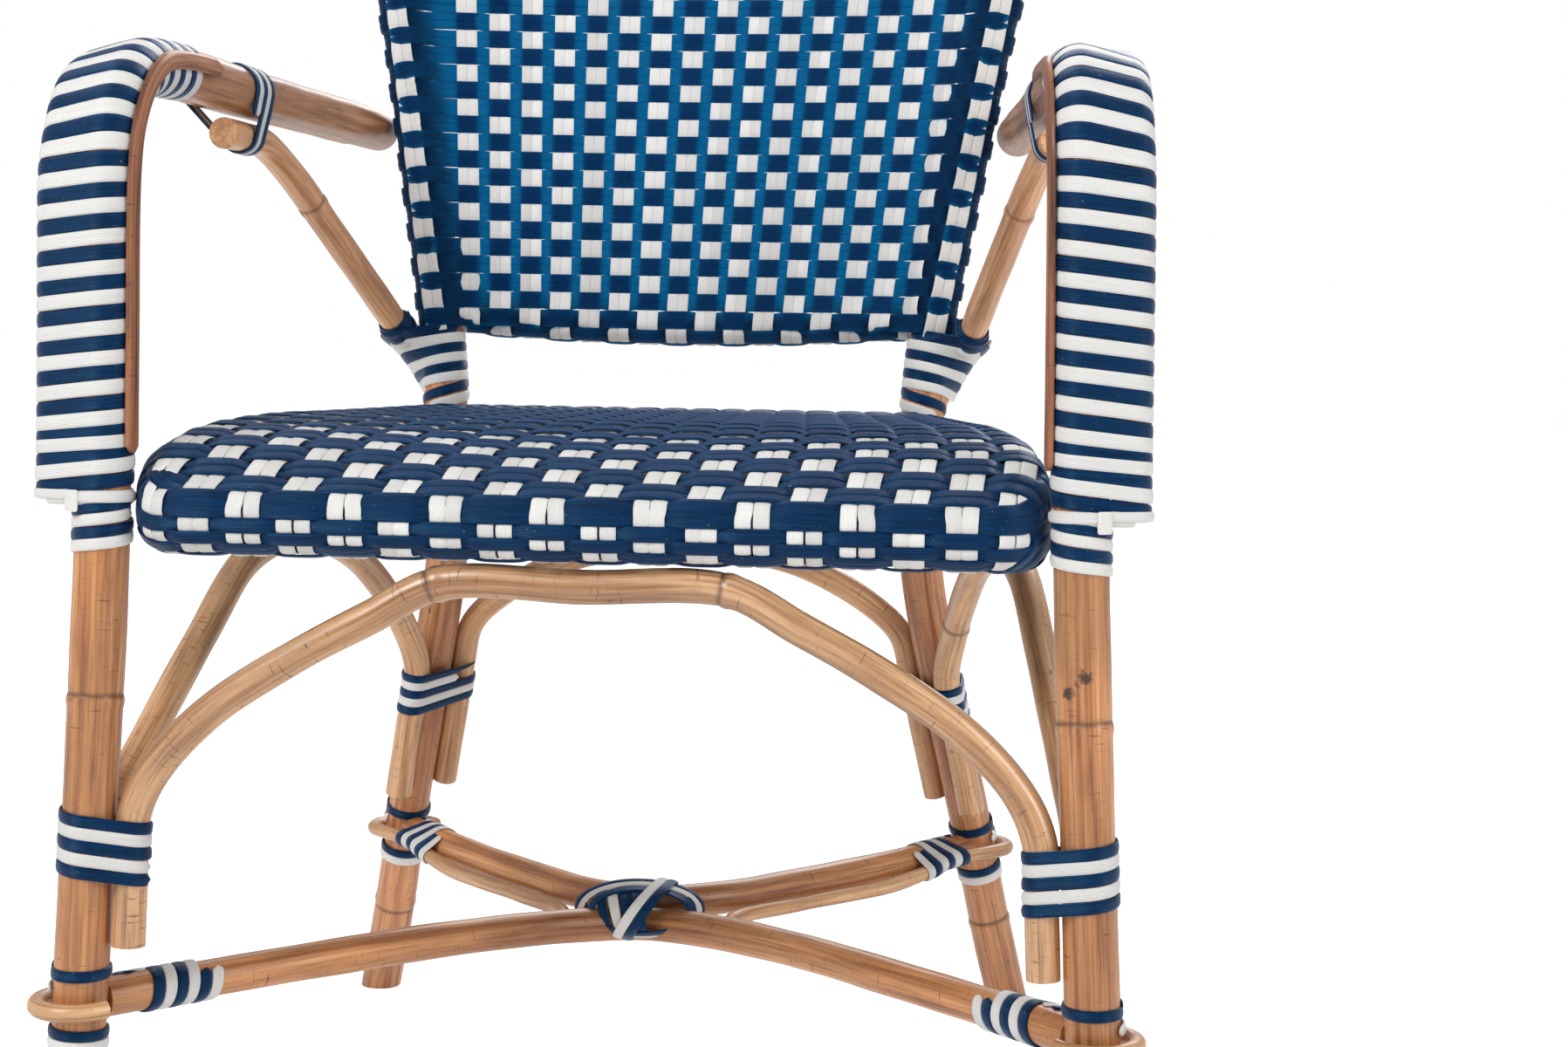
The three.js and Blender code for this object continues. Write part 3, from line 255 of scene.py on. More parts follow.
def rear_arch_curve():
    behind, bound_z, top, flat_half = 11, 264, 350.5, 58
    offset = MAIN_POLE / 2 + REAR_ARCH_POLE / 2 + SEAT_GAP
    aside = math.sqrt(offset ** 2 - behind ** 2)

    def beside(z):
        leg = hoop.at_height(z)
        return np.array([leg[0] - aside, leg[1] + behind, z])
    bound = beside(bound_z)
    top_y = hoop.at_height(top)[1] + behind

    def between(across, drop):
        x, y = flat_half + (bound[0] - flat_half) * across, top_y + (bound[1] - top_y) * drop
        return (x, y, top - (top - bound_z) * drop)
    return symmetric([
        beside(171), beside(217.5), bound, between(0.93, 0.66), between(0.72, 0.4),
        between(0.36, 0.14), (flat_half, top_y, top), (0, top_y, top),
    ])


def side_arch_curve():
    def ends(z, front_side):
        front, rear = front_leg.at_height(z), hoop.at_height(z)
        way = unit((front - rear) * (1, 1, 0)) * (ARCH_OFFSET + 2 * SEAT_GAP)
        start = front - way if front_side else rear + way
        return np.array([start[0], start[1], z])
    rear_z, front_z, top = 264, 240, 374.1
    low, far = ends(rear_z, False), ends(front_z, True)
    rise, fall = top - rear_z, top - front_z

    def along(share, z):
        return np.array([low[0] + (far[0] - low[0]) * share, low[1] + (far[1] - low[1]) * share, z])
    return Curve([
        ends(166, False), ends(215, False), low,
        along(0.07, rear_z + rise * 0.36), along(0.25, rear_z + rise * 0.82), along(0.45, top),
        along(0.62, top - fall * 0.07), along(0.76, top - fall * 0.38), along(0.92, top - fall * 0.78),
        far, ends(208, True), ends(176, True),
    ])


front_arch = front_arch_curve()
rear_arch = rear_arch_curve()
side_arch = side_arch_curve()


def brace_curve():
    foot_z, bend_z, reach, drop = 458, 509, 172, 1.6
    low = hoop.at_height(foot_z)
    x = low[0] + MAIN_POLE / 2 + BRACE_POLE / 2 + 2 * SEAT_GAP
    under = ARM_AXIS_Z - MAIN_POLE / 2 - BRACE_POLE / 2 - 2 * drop
    arm = front_leg.at(np.arange(1, 0.3, -0.002) * front_leg.length)

    def below_arm(y, z):
        return np.array([float(arm[np.argmax(arm[:, 1] <= y), 0]), y, z])
    meet_y = low[1] - reach
    bend = np.array([x + 4 * drop, low[1] - BRACE_POLE / 2, bend_z])
    meet = below_arm(meet_y, under)
    points = [(x - 20, low[1] + 25, foot_z), (x - 4, low[1] + 6, (foot_z + 2 * bend_z) / 3), bend]
    points += [bend + (meet - bend) * share for share in (0.25, 0.6, 0.82)]
    for back, lower in ((0.5, drop), (2, 0), (4, 0)):
        points.append(below_arm(meet_y - back * BRACE_POLE, under - lower))
    return Curve(points)


brace = brace_curve()

# Stretchers
STRETCHER_Z = 133.0
STRETCHER_Y = 262.0
BOW_SPACING = ARCH_POLE / 2 + SEAT_GAP / 2


def bow_curve(leg, middle, places, sag=0.0):
    """Half a bow from its places, as shares of the way from the chair's middle to the leg."""
    return symmetric([
        (leg[0] * a, middle + (leg[1] - middle) * b, STRETCHER_Z - sag * (1 - b) ** 3) for a, b in places])


rear_bow = bow_curve(hoop.at_height(STRETCHER_Z), STRETCHER_Y + BOW_SPACING, (
    (1, 1), (0.8, 0.73), (0.6, 0.485), (0.4, 0.27), (0.2, 0.08), (0, 0)))
front_bow = bow_curve(front_leg.at_height(STRETCHER_Z), STRETCHER_Y - BOW_SPACING, (
    (1, 1), (0.8, 0.77), (0.6, 0.55), (0.4, 0.32), (0.18, 0.1), (0, 0)), 10.0)


def loop_cane_curve():
    around_leg = MAIN_POLE / 2 + LOOP_POLE / 2 + SEAT_GAP + 3
    offset = BOW_POLE / 2 + LOOP_POLE / 2 + SEAT_GAP
    lower = 9.0

    def beside(curve, sign):
        shares = (0.085, 0.12, 0.19, 0.26, 0.33)
        at, _, _, third = curve.frames(np.array(shares) * curve.length, UP)
        sunk = np.array([(0, 0, -lower * min(1, i / 2)) for i in range(len(shares))])
        return list(at + third * sign * offset + sunk)

    def turn(leg, start, end):
        ways = [(math.cos(a), math.sin(a)) for a in np.radians(np.linspace(start, end, 7))]
        return [(leg[0] + around_leg * x, leg[1] + around_leg * y, STRETCHER_Z) for x, y in ways]
    points = turn(hoop.at_height(STRETCHER_Z), 148, -22) + beside(rear_bow, -1)
    points.append((56, STRETCHER_Y, STRETCHER_Z - lower))
    points += beside(front_bow, 1)[::-1] + turn(front_leg.at_height(STRETCHER_Z), 22, -148)
    return Curve(points)


loop_cane = loop_cane_curve()


# Meshes

class Batch:
    """Verts, faces and grain coordinates of many like strips or poles, made into one object."""

    def __init__(self):
        self.verts, self.faces, self.grain, self.tone, self.caps = [], [], [], [], []
        self.count = 0

    def tube(self, rings, grain, tone, closed=False):
        """rings: N x K x 3 points turning about the direction of travel."""
        n, k, _ = rings.shape
        index = self.count + np.arange(n * k).reshape(n, k)
        here = index if closed else index[:-1]
        there = np.roll(index, -1, axis=0) if closed else index[1:]
        quads = np.stack([here, np.roll(here, -1, 1), np.roll(there, -1, 1), there], axis=-1)
        self.faces.append(quads.reshape(-1, 4))
        if not closed:
            self.caps += [index[0][::-1].tolist(), index[-1].tolist()]
        self.verts.append(rings.reshape(-1, 3))
        self.grain.append(grain.reshape(-1, 3))
        self.tone.append(np.broadcast_to(tone, (n, k)).reshape(-1))
        self.count += n * k

    def mirrored(self):
        other = Batch()
        other.verts = [v * FLIP for v in self.verts]
        other.faces = [f[:, ::-1] for f in self.faces]
        other.caps = [c[::-1] for c in self.caps]
        other.grain = [g + (0.37, 0, 0) for g in self.grain]
        other.tone, other.count = self.tone, self.count
        return other

    def build(self, name, material, slot, nodes):
        verts = np.vstack(self.verts)
        verts = (verts - (0, FOOTPRINT_MIDDLE, 0)) * MM
        faces = np.vstack(self.faces).tolist() + self.caps
        mesh = bpy.data.meshes.new(name)
        mesh.from_pydata(verts.tolist(), [], faces)
        grain = mesh.attributes.new("grain", "FLOAT_VECTOR", "POINT")
        grain.data.foreach_set("vector", np.vstack(self.grain).astype(np.float32).ravel())
        tone = mesh.attributes.new("tone", "FLOAT", "POINT")
        tone.data.foreach_set("value", np.concatenate(self.tone).astype(np.float32))
        mesh.polygons.foreach_set("use_smooth", np.ones(len(mesh.polygons), bool))
        mesh.set_sharp_from_angle(angle=math.radians(50))
        mesh.materials.append(material)
        obj = bpy.data.objects.new(name, mesh)
        bpy.context.scene.collection.objects.link(obj)
        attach(obj, BODY)
        if nodes:
            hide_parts(*nodes)

    def build_sides(self, name, material, slot, node_name=None):
        """The piece on the right and its mirror image; {} in the names stands for the side."""
        for batch, side in ((self, "right"), (self.mirrored(), "left")):
            batch.build(name.format(side), material, slot, [node_name.format(side)] if node_name else [])


def around(side, third, angles):
    """Unit vectors that turn from side toward third, at every place along a line."""
    return side[:, None] * np.cos(angles)[None, :, None] + third[:, None] * np.sin(angles)[None, :, None]


RING_SWELL = 0.7


def pole_tube(curve, diameter, reference, rings=(), sides=28, span=None, step=5.0):
    """A round pole with growth rings at some distances along it."""
    low, high = span or (0.0, curve.length)
    stops = [np.arange(low, high, step), [high]]
    for ring in rings:
        stops.append(np.clip(ring + np.linspace(-9, 9, 25), low, high))
    d = np.unique(np.round(np.concatenate(stops), 3))
    at, _, side, third = curve.frames(d, reference)
    radius = np.full(len(d), diameter / 2)
    phases = rng.uniform(0, 6.28, 3)
    for phase, wave in zip(phases, (61.0, 137.0, 233.0)):
        radius += 0.09 * np.sin(d / wave * 6.28 + phase)
    tone = np.zeros(len(d))
    for ring in rings:
        off = d - ring
        bulge, dip = np.exp(-(off / 3.2) ** 2), np.exp(-((off - 4.6) / 1.1) ** 2)
        radius += RING_SWELL * bulge - 0.45 * RING_SWELL * dip
        tone = np.maximum(tone, np.exp(-((off - 4.2) / 1.5) ** 2))
    angles = np.linspace(0, 2 * math.pi, sides, endpoint=False)
    points = at[:, None] + around(side, third, angles) * radius[:, None, None]
    grain = np.empty_like(points)
    grain[..., 0] = (d * MM + rng.uniform(0, 3))[:, None]
    grain[..., 1] = np.cos(angles) * diameter / 2 * MM
    grain[..., 2] = np.sin(angles) * diameter / 2 * MM
    return points, grain, np.repeat(tone[:, None], sides, 1)


# Round a strip's section: share of the half width, share of the thickness, over the top and back below
SECTION_SHARE, SECTION_LIFT = np.array([
    (-1, 0.3), (-0.9, 0.66), (-0.62, 0.9), (-0.3, 0.985), (0, 1), (0.3, 0.985),
    (0.62, 0.9), (0.9, 0.66), (1, 0.3), (0.92, 0.02), (0, 0), (-0.92, 0.02),
]).T


def strip_rings(centres, normals, widths, thickness):
    """A flat domed strip along centres, whose face looks along normals."""
    tangent = unit(np.gradient(centres, axis=0))
    normals = unit(normals - tangent * np.sum(tangent * normals, axis=1)[:, None])
    across = np.cross(tangent, normals)
    offsets = SECTION_SHARE * np.broadcast_to(widths, len(centres))[:, None] / 2
    points = centres[:, None] + across[:, None] * offsets[..., None]
    points = points + normals[:, None] * (SECTION_LIFT * thickness)[:, None]
    grain = np.empty_like(points)
    grain[..., 0] = (run_lengths(centres) * MM)[:, None]
    grain[..., 1] = offsets * MM
    grain[..., 2] = rng.uniform(0, 5)
    return points, grain


def end_taper(steps, reach=3.0):
    """Rounds a strip's ends: the share of its width at each distance."""
    off = np.minimum(steps - steps[0], steps[-1] - steps)
    share = np.clip(off / reach, 0, 1)
    return 0.25 + 0.75 * np.sqrt(1 - (1 - share) ** 2)


# Winding

def crossing(curve, at, tangent, side, third):
    """Where a pole passes a plane, seen from a place in it, and how much its slant widens it there."""
    offsets = (curve.path - at) @ tangent
    best = None
    for i in np.nonzero((offsets[:-1] * offsets[1:] <= 0) & (offsets[:-1] != offsets[1:]))[0]:
        step = curve.path[i + 1] - curve.path[i]
        hit = curve.path[i] + step * (offsets[i] / (offsets[i] - offsets[i + 1]))
        distance = np.linalg.norm(hit - at)
        if best is None or distance < best[0]:
            best = (distance, hit, abs(unit(step) @ tangent))
    if best is None:
        end = min((curve.path[0], curve.path[-1]), key=lambda p: np.linalg.norm(p - at))
        best = (0, end - tangent * ((end - at) @ tangent), 1)
    offset = best[1] - at
    return offset @ side, offset @ third, 1 / max(best[2], 0.5)


class Outline:
    """The hull round several poles, read by distance along one of them and by share of its girth."""

    def __init__(self, members, along, reference, low, high, phase=0.0, step=2.0, sides=144):
        self.d = np.arange(low, high + step, step)
        clamped = np.clip(self.d, 0, along.length)
        self.at, tangent, self.side, self.third = along.frames(clamped, reference)
        angles = np.linspace(0, 2 * math.pi, sides + 1) + phase
        sine = math.sin(angles[1] - angles[0])
        self.table = np.zeros((len(self.d), sides + 1, 2))
        for i, here in enumerate(zip(self.at, tangent, self.side, self.third)):
            circles = [(crossing(curve, *here), diameter / 2) for curve, diameter in members]
            c = np.array([(u, v, radius * stretch) for (u, v, stretch), radius in circles])
            reach = (c[:, 0, None] * np.cos(angles) + c[:, 1, None] * np.sin(angles) + c[:, 2, None]).max(0)
            a, b = reach[:-1], reach[1:]
            u = (a * np.sin(angles[1:]) - b * np.sin(angles[:-1])) / sine
            v = (b * np.cos(angles[:-1]) - a * np.cos(angles[1:])) / sine
            ring = np.stack([np.append(u, u[0]), np.append(v, v[0])], 1)
            lengths = run_lengths(ring)
            self.table[i] = read_along(np.linspace(0, lengths[-1], sides + 1), lengths, ring)
        self.girth = lengths[-1]
        slopes = np.roll(self.table[:, :-1], -1, 1) - np.roll(self.table[:, :-1], 1, 1)
        flat = unit(np.stack([slopes[..., 1], -slopes[..., 0]], -1))
        self.flat = np.concatenate([flat, flat[:, :1]], axis=1)

    def place(self, distance, share, lift):
        """Points and normals on the hull, raised by lift."""
        fd = np.clip((distance - self.d[0]) / (self.d[1] - self.d[0]), 0, len(self.d) - 1.001)
        fs = (share % 1.0) * (self.table.shape[1] - 1)
        i = np.clip(np.floor(fd).astype(int), 0, len(self.d) - 2)
        j = np.floor(fs).astype(int)
        a, b = (fd - i)[..., None], (fs - j)[..., None]

        def look(table):
            low = table[i, j] * (1 - b) + table[i, j + 1] * b
            high = table[i + 1, j] * (1 - b) + table[i + 1, j + 1] * b
            return low * (1 - a) + high * a
        uv, n = look(self.table), look(self.flat)
        at, side, third = ((t[i] * (1 - a) + t[i + 1] * a) for t in (self.at, self.side, self.third))
        normal = unit(side * n[..., :1] + third * n[..., 1:])
        return at + side * uv[..., :1] + third * uv[..., 1:] + normal * lift[..., None], normal


def eased(value):
    value = np.clip(value, 0, 1)
    return value * value * (3 - 2 * value)


# How many turns into a squeezed helix the close turns begin, and over how many they open again
SQUEEZE_FROM, SQUEEZE_OVER = 0.28, 2.3


def wound(batch, outline, start, pitch, loops, width, share=0.0, steps=72, lift=0.35, foot_lift=0.0,
          thickness=STRIP_THICKNESS, slack=0.0, hand=1, squeeze=0.0):
    """One strip wound on a hull, in a helix whose first turns may lie closer together and higher."""
    turns = np.linspace(0, loops, int(loops * steps) + 1)
    centre = start + pitch * turns - squeeze * eased((turns - SQUEEZE_FROM) / SQUEEZE_OVER)
    wander = slack * np.sin(turns * 2 * math.pi * 0.37 + start)
    across = SECTION_SHARE * (width * end_taper(turns * outline.girth) / 2)[:, None]
    distance = (centre + wander)[:, None] + across
    raised = lift + foot_lift * np.exp(-turns / 1.2)[:, None] + SECTION_LIFT * thickness
    turned = np.broadcast_to((hand * turns + share)[:, None], distance.shape)
    points, _ = outline.place(distance, turned, raised)
    grain = np.empty_like(points)
    grain[..., 0] = (turns * outline.girth * MM)[:, None]
    grain[..., 1] = across * MM
    grain[..., 2] = rng.uniform(0, 5)
    if hand > 0:
        points, grain = points[:, ::-1], grain[:, ::-1]
    batch.tube(points, grain, rng.uniform(0, 1))


# Materials

RIB_PITCH = 0.85


def new_material(name):
    material = bpy.data.materials.new(name)
    material.use_nodes = True
    tree = material.node_tree
    return material, tree, tree.nodes["Principled BSDF"], tree.nodes["Material Output"]


def feed(tree, made, inputs):
    """Links or sets a node's inputs, each found by its name or number."""
    for key, value in inputs.items():
        if isinstance(value, bpy.types.NodeSocket):
            tree.links.new(value, made.inputs[key])
        else:
            made.inputs[key].default_value = value
    return made


def node(tree, kind, inputs=None, **settings):
    made = tree.nodes.new("ShaderNode" + kind)
    for key, value in settings.items():
        setattr(made, key, value)
    return feed(tree, made, inputs or {})


def maths(tree, operation, a, b=0.0):
    return node(tree, "Math", {0: a, 1: b}, operation=operation).outputs[0]


def mapped(tree, value, low, high, bottom=0.0, top=1.0, **settings):
    ends = {"From Min": low, "From Max": high, "To Min": bottom, "To Max": top}
    return node(tree, "MapRange", {"Value": value, **ends}, **settings).outputs[0]


def stretched(tree, vector, scale):
    return node(tree, "Mapping", {"Vector": vector, "Scale": scale}).outputs["Vector"]


def noise(tree, vector, detail, roughness, scale=1.0):
    inputs = {"Vector": vector, "Scale": scale, "Detail": detail, "Roughness": roughness}
    return node(tree, "TexNoise", inputs).outputs["Fac"]


def ramp(tree, factor, stops):
    made = node(tree, "ValToRGB", {"Fac": factor})
    elements = made.color_ramp.elements
    while len(elements) < len(stops):
        elements.new(0.5)
    for element, (place, color) in zip(elements, stops):
        element.position = place
        element.color = (*color, 1)
    return made.outputs["Color"]


def blended(tree, factor, a, b, kind="MIX"):
    """Two colours mixed; the numbers are those of the mix node's colour sockets."""
    return node(tree, "Mix", {0: factor, 6: a, 7: b}, data_type="RGBA", blend_type=kind).outputs[2]


def srgb(r, g, b):
    def linear(c):
        c /= 255
        return c / 12.92 if c <= 0.04045 else ((c + 0.055) / 1.055) ** 2.4
    return (linear(r), linear(g), linear(b))


def darker(color, share):
    return (*[c * share for c in color], 1)


def attribute(tree, name, output):
    return node(tree, "Attribute", attribute_name=name).outputs[output]


def rattan_material(name, light, middle, dark, roughness=0.42, darkened_places=(), coat=0.4, cracks=0.7):
    """Peeled, varnished rattan: long fibres, soft mottling, flecks and darker growth rings."""
    light, middle, dark = srgb(*light), srgb(*middle), srgb(*dark)
    material, tree, shader, _ = new_material(name)
    grain = attribute(tree, "grain", "Vector")
    fibres = noise(tree, stretched(tree, grain, (18, 620, 620)), 4.0, 0.62)
    streaks = noise(tree, stretched(tree, grain, (6, 210, 210)), 5.0, 0.62)
    mottle = noise(tree, stretched(tree, grain, (14, 90, 90)), 4.0, 0.6)
    broad = noise(tree, stretched(tree, grain, (5, 22, 22)), 2.0, 0.5)
    color = ramp(tree, streaks, ((0.3, dark), (0.5, middle), (0.72, light)))
    for layer, amount, stops in (
        (fibres, 0.8, ((0.3, (0.52, 0.44, 0.38)), (0.5, (0.98, 0.97, 0.96)), (0.75, (1.1, 1.09, 1.07)))),
        (mottle, 0.85, ((0.32, (0.68, 0.6, 0.54)), (0.5, (0.97, 0.96, 0.95)), (0.7, (1.12, 1.1, 1.08)))),
        (broad, 0.9, ((0.36, (0.7, 0.63, 0.58)), (0.52, (1.0, 1.0, 1.0)), (0.66, (1.14, 1.13, 1.12)))),
    ):
        color = blended(tree, amount, color, ramp(tree, layer, stops), "MULTIPLY")
    nicks = mapped(tree, noise(tree, stretched(tree, grain, (620, 70, 70)), 2.0, 0.6), 0.64, 0.73)
    color = blended(tree, maths(tree, "MULTIPLY", nicks, cracks), color, darker(dark, 0.35))
    cells = node(tree, "TexVoronoi", {"Vector": stretched(tree, grain, (55, 95, 95)), "Scale": 1.0})
    chance = node(tree, "SeparateColor", {"Color": cells.outputs["Color"]}).outputs[0]
    rare = maths(tree, "GREATER_THAN", chance, 0.86)
    fleck = maths(tree, "MULTIPLY", mapped(tree, cells.outputs["Distance"], 0.15, 0.05), rare)
    color = blended(tree, maths(tree, "MULTIPLY", fleck, 0.75), color, darker(dark, 0.28))
    place = node(tree, "TexCoord").outputs["Object"]
    # Dark patches: some are real blotches, and the leg's widest one is partly painted shade under the seat's
    # corner and partly a darker tone.
    for (x, y, z), size, strength in darkened_places:
        there = (x * MM, (y - FOOTPRINT_MIDDLE) * MM, z * MM)
        off = node(tree, "VectorMath", {0: place, 1: there}, operation="DISTANCE").outputs["Value"]
        ragged = maths(tree, "SUBTRACT", noise(tree, place, 2.0, 0.6, 420.0), 0.5)
        off = maths(tree, "ADD", off, maths(tree, "MULTIPLY", ragged, 7 * MM))
        shape = mapped(tree, off, size * MM, size * 0.35 * MM, interpolation_type="SMOOTHSTEP")
        color = blended(tree, maths(tree, "MULTIPLY", shape, strength), color, (0.045, 0.02, 0.01, 1))
    ring = attribute(tree, "tone", "Fac")
    color = blended(tree, maths(tree, "MULTIPLY", ring, 0.72), color, darker(dark, 0.3))
    height = maths(tree, "ADD", maths(tree, "MULTIPLY", fibres, 0.5), maths(tree, "MULTIPLY", ring, -1.2))
    feed(tree, shader, {
        "Base Color": color,
        "Roughness": mapped(tree, mottle, 0.0, 1.0, roughness + 0.08, roughness - 0.06),
        "Coat Weight": coat,
        "Coat Roughness": 0.2,
        "Normal": node(tree, "Bump", {"Height": height, "Strength": 0.35, "Distance": 0.0006}).outputs[0],
    })
    return material


def strip_material(name, face, dark, glow, share, groove_shade, roughness, dust):
    """Ridged flat strip, with painted shade in the troughs between its ribs; part of the light that falls on
    it comes through in the glow colour.
    """
    face, dark = srgb(*face), srgb(*dark)
    material, tree, shader, output = new_material(name)
    grain = attribute(tree, "grain", "Vector")
    across = node(tree, "SeparateXYZ", {"Vector": grain}).outputs[1]
    wave = maths(tree, "SINE", maths(tree, "MULTIPLY", across, 2 * math.pi / (RIB_PITCH * MM)))
    streaks = noise(tree, stretched(tree, grain, (30, 900, 40)), 3.0, 0.6)
    color = ramp(tree, streaks, ((0.3, dark), (0.65, face)))
    # Painted shade: the troughs between the ribs are darkened.
    color = blended(tree, mapped(tree, wave, -1.0, -0.3, groove_shade, 0.0), color, darker(dark, 0.55))
    lift = mapped(tree, attribute(tree, "tone", "Fac"), 0.0, 1.0, 0.9, 1.1)
    color = node(tree, "VectorMath", {0: color, "Scale": lift}, operation="SCALE").outputs[0]
    if dust:
        specks = noise(tree, stretched(tree, grain, (520, 900, 60)), 2.0, 0.5)
        speck = maths(tree, "MULTIPLY", mapped(tree, specks, 0.75, 0.78), dust)
        color = blended(tree, speck, color, (0.62, 0.68, 0.75, 1))
        feed(tree, shader, {
            "Specular Tint": (0.22, 0.55, 0.9, 1), "Sheen Weight": 0.3,
            "Sheen Roughness": 0.35, "Sheen Tint": (0.3, 0.5, 1.0, 1),
        })
    height = maths(tree, "ADD", maths(tree, "MULTIPLY", wave, 0.5), maths(tree, "MULTIPLY", streaks, 0.4))
    bump = node(tree, "Bump", {"Height": height, "Strength": 0.8, "Distance": 0.00026}).outputs[0]
    feed(tree, shader, {
        "Base Color": color, "Roughness": roughness, "Specular IOR Level": 0.4, "Normal": bump})
    if share:
        through = node(tree, "BsdfTranslucent", {"Color": (*glow, 1), "Normal": bump})
        mix = node(tree, "MixShader", {0: share, 1: shader.outputs[0], 2: through.outputs[0]})
        tree.links.new(mix.outputs[0], output.inputs["Surface"])
    return material


# Each mark: its middle, its reach and how strongly it darkens
LEG_MARKS_AND_SEAT_SHADE = (
    ((270.3, -14.5, 331.5), 5.6, 0.92), ((261.7, -13.5, 323.0), 4.6, 0.95), ((266.5, -14.5, 328.0), 2.4, 0.6),
    # This wide one is partly painted shade under the seat's corner and partly the leg's darker tone near its
    # top.
    ((267.5, -12.0, 374.0), 62.0, 0.3),
)
leg_rattan = rattan_material("leg_rattan", (226, 164, 110), (198, 138, 88), (148, 90, 54), darkened_places=LEG_MARKS_AND_SEAT_SHADE)
hoop_rattan = rattan_material("hoop_rattan", (228, 170, 124), (208, 146, 102), (158, 98, 64), 0.46)
pale_rattan = rattan_material("pale_rattan", (238, 196, 154), (218, 170, 124), (174, 122, 82), 0.4)
arch_rattan = rattan_material("arch_rattan", (236, 192, 148), (208, 160, 114), (152, 102, 66), 0.3, coat=0.9)
# The brace's colours are made lighter as painted light, making up for the shade it lies in under the arm.
brace_rattan_painted_light = rattan_material(
    "brace_rattan_painted_light", (252, 204, 154), (246, 188, 138), (212, 150, 106), 0.4, cracks=0.4)
bark_rattan = rattan_material("bark_rattan", (222, 162, 118), (170, 108, 72), (70, 38, 26), 0.6, cracks=1.0)
# The seat rails are dark brown as painted shade, so that what shows of them through the weave's gaps looks
# dark.
rail_rattan_painted_shade = rattan_material("rail_rattan_painted_shade", (90, 66, 52), (72, 52, 42), (50, 36, 32), 0.6)
navy = strip_material(
    "navy_strip", (4, 52, 96), (2, 24, 56), glow=(0.0, 0.6, 0.95), share=0.0, groove_shade=0.55,
    roughness=0.3, dust=0.8)
back_navy = strip_material(
    "back_navy_strip", (22, 46, 82), (12, 28, 58), glow=(0.0, 0.56, 0.86), share=0.62, groove_shade=0.3,
    roughness=0.3, dust=0.4)
white = strip_material(
    "white_strip", (254, 253, 250), (247, 245, 242), glow=(0.95, 0.95, 0.93), share=0.12, groove_shade=0.2,
    roughness=0.4, dust=0.0)


# Poles

def flatten_foot(rings, curve, at_end):
    """Cuts a leg level at the floor."""
    ring = rings[-1] if at_end else rings[0]
    way = curve.tangent(curve.length if at_end else 0.0)[0]
    ring += way * (-ring[:, 2] / way[2])[:, None]
    rings[..., 2] = np.maximum(rings[..., 2], 0)


def add_pole(name, curve, diameter, reference, material, slot, pair=False, feet=(), rings=(), **settings):
    """A pole or a mirrored pair, with rings at shares of its length; feet: which ends stand on the floor."""
    darkened_places = [share * curve.length for share in rings]
    points, grain, tone = pole_tube(curve, diameter, reference, darkened_places, **settings)
    for at_end in feet:
        flatten_foot(points, curve, at_end)
    batch = Batch()
    batch.tube(points, grain, tone)
    if pair:
        batch.build_sides(name + "_{}_pole", material, slot, name + "_{}")
    else:
        batch.build(name + "_pole", material, slot, [name])


def cut_ends(curve, amount):
    """Where a pole begins and ends when it stops short of its curve's ends, inside a thicker pole."""
    return (amount, curve.length - amount)


RAIL_CUT, BOW_CUT = 15, 14.2
# The front arch's two rings stand this share of its length from its middle
FRONT_ARCH_RING = 80 / front_arch.length

add_pole("front_leg_and_arm", front_leg, MAIN_POLE, AXIS_X, leg_rattan, "pole_rattan", True,
         feet=(False,), rings=(0.09, 0.276), sides=32, step=4.0)
add_pole("rear_legs_and_back_hoop", hoop, MAIN_POLE, AXIS_Y, hoop_rattan, "hoop_rattan",
         feet=(False, True), rings=(0.036, 0.964), sides=32, step=4.0)
add_pole("arm_outer_pole", outer_arm, ARM_OUTER_POLE, AXIS_X, leg_rattan, "pole_rattan", True)
add_pole("back_lower_rail", back_rail, BACK_RAIL_POLE, UP, leg_rattan, "pole_rattan",
         span=cut_ends(back_rail, RAIL_CUT))
add_pole("front_arch", front_arch, ARCH_POLE, AXIS_Y, arch_rattan, "pale_rattan",
         rings=(0.5 - FRONT_ARCH_RING, 0.5 + FRONT_ARCH_RING))
add_pole("rear_arch", rear_arch, REAR_ARCH_POLE, AXIS_Y, pale_rattan, "pale_rattan")
add_pole("side_arch", side_arch, ARCH_POLE, AXIS_X, pale_rattan, "pale_rattan", True, rings=(0.24,))
add_pole("arm_brace", brace, BRACE_POLE, AXIS_X, brace_rattan_painted_light, "pole_rattan", True, rings=(0.6,))
for bow_name, bow in (("rear", rear_bow), ("front", front_bow)):
    add_pole(f"stretcher_{bow_name}_bow", bow, BOW_POLE, UP, leg_rattan, "pole_rattan",
             span=cut_ends(bow, BOW_CUT))
add_pole("stretcher_loop_cane", loop_cane, LOOP_POLE, UP, pale_rattan, "pale_rattan", True, sides=18)


# Bindings

def build_strips(batches, name, pair=True, solid=True):
    """A binding's navy and white strips as pieces; solid tells whether the frame has them too."""
    for color, material in (("navy", navy), ("white", white)):
        if pair:
            node_name = f"{name}_{color}_{{}}" if solid else None
            batches[color].build_sides(f"{name}_{color}_strip_{{}}", material, color + "_strip", node_name)
        else:
            batches[color].build(f"{name}_{color}_strip", material, color + "_strip", [f"{name}_{color}"])


def wind_all(name, strips, **kind):
    """Strips wound from a table of colour, hull, start, pitch, loops, width and other settings."""
    batches = {"navy": Batch(), "white": Batch()}
    for color, outline, start, pitch, loops, width, settings in strips:
        wound(batches[color], outline, start, pitch, loops, width, **settings)
    build_strips(batches, name, **kind)


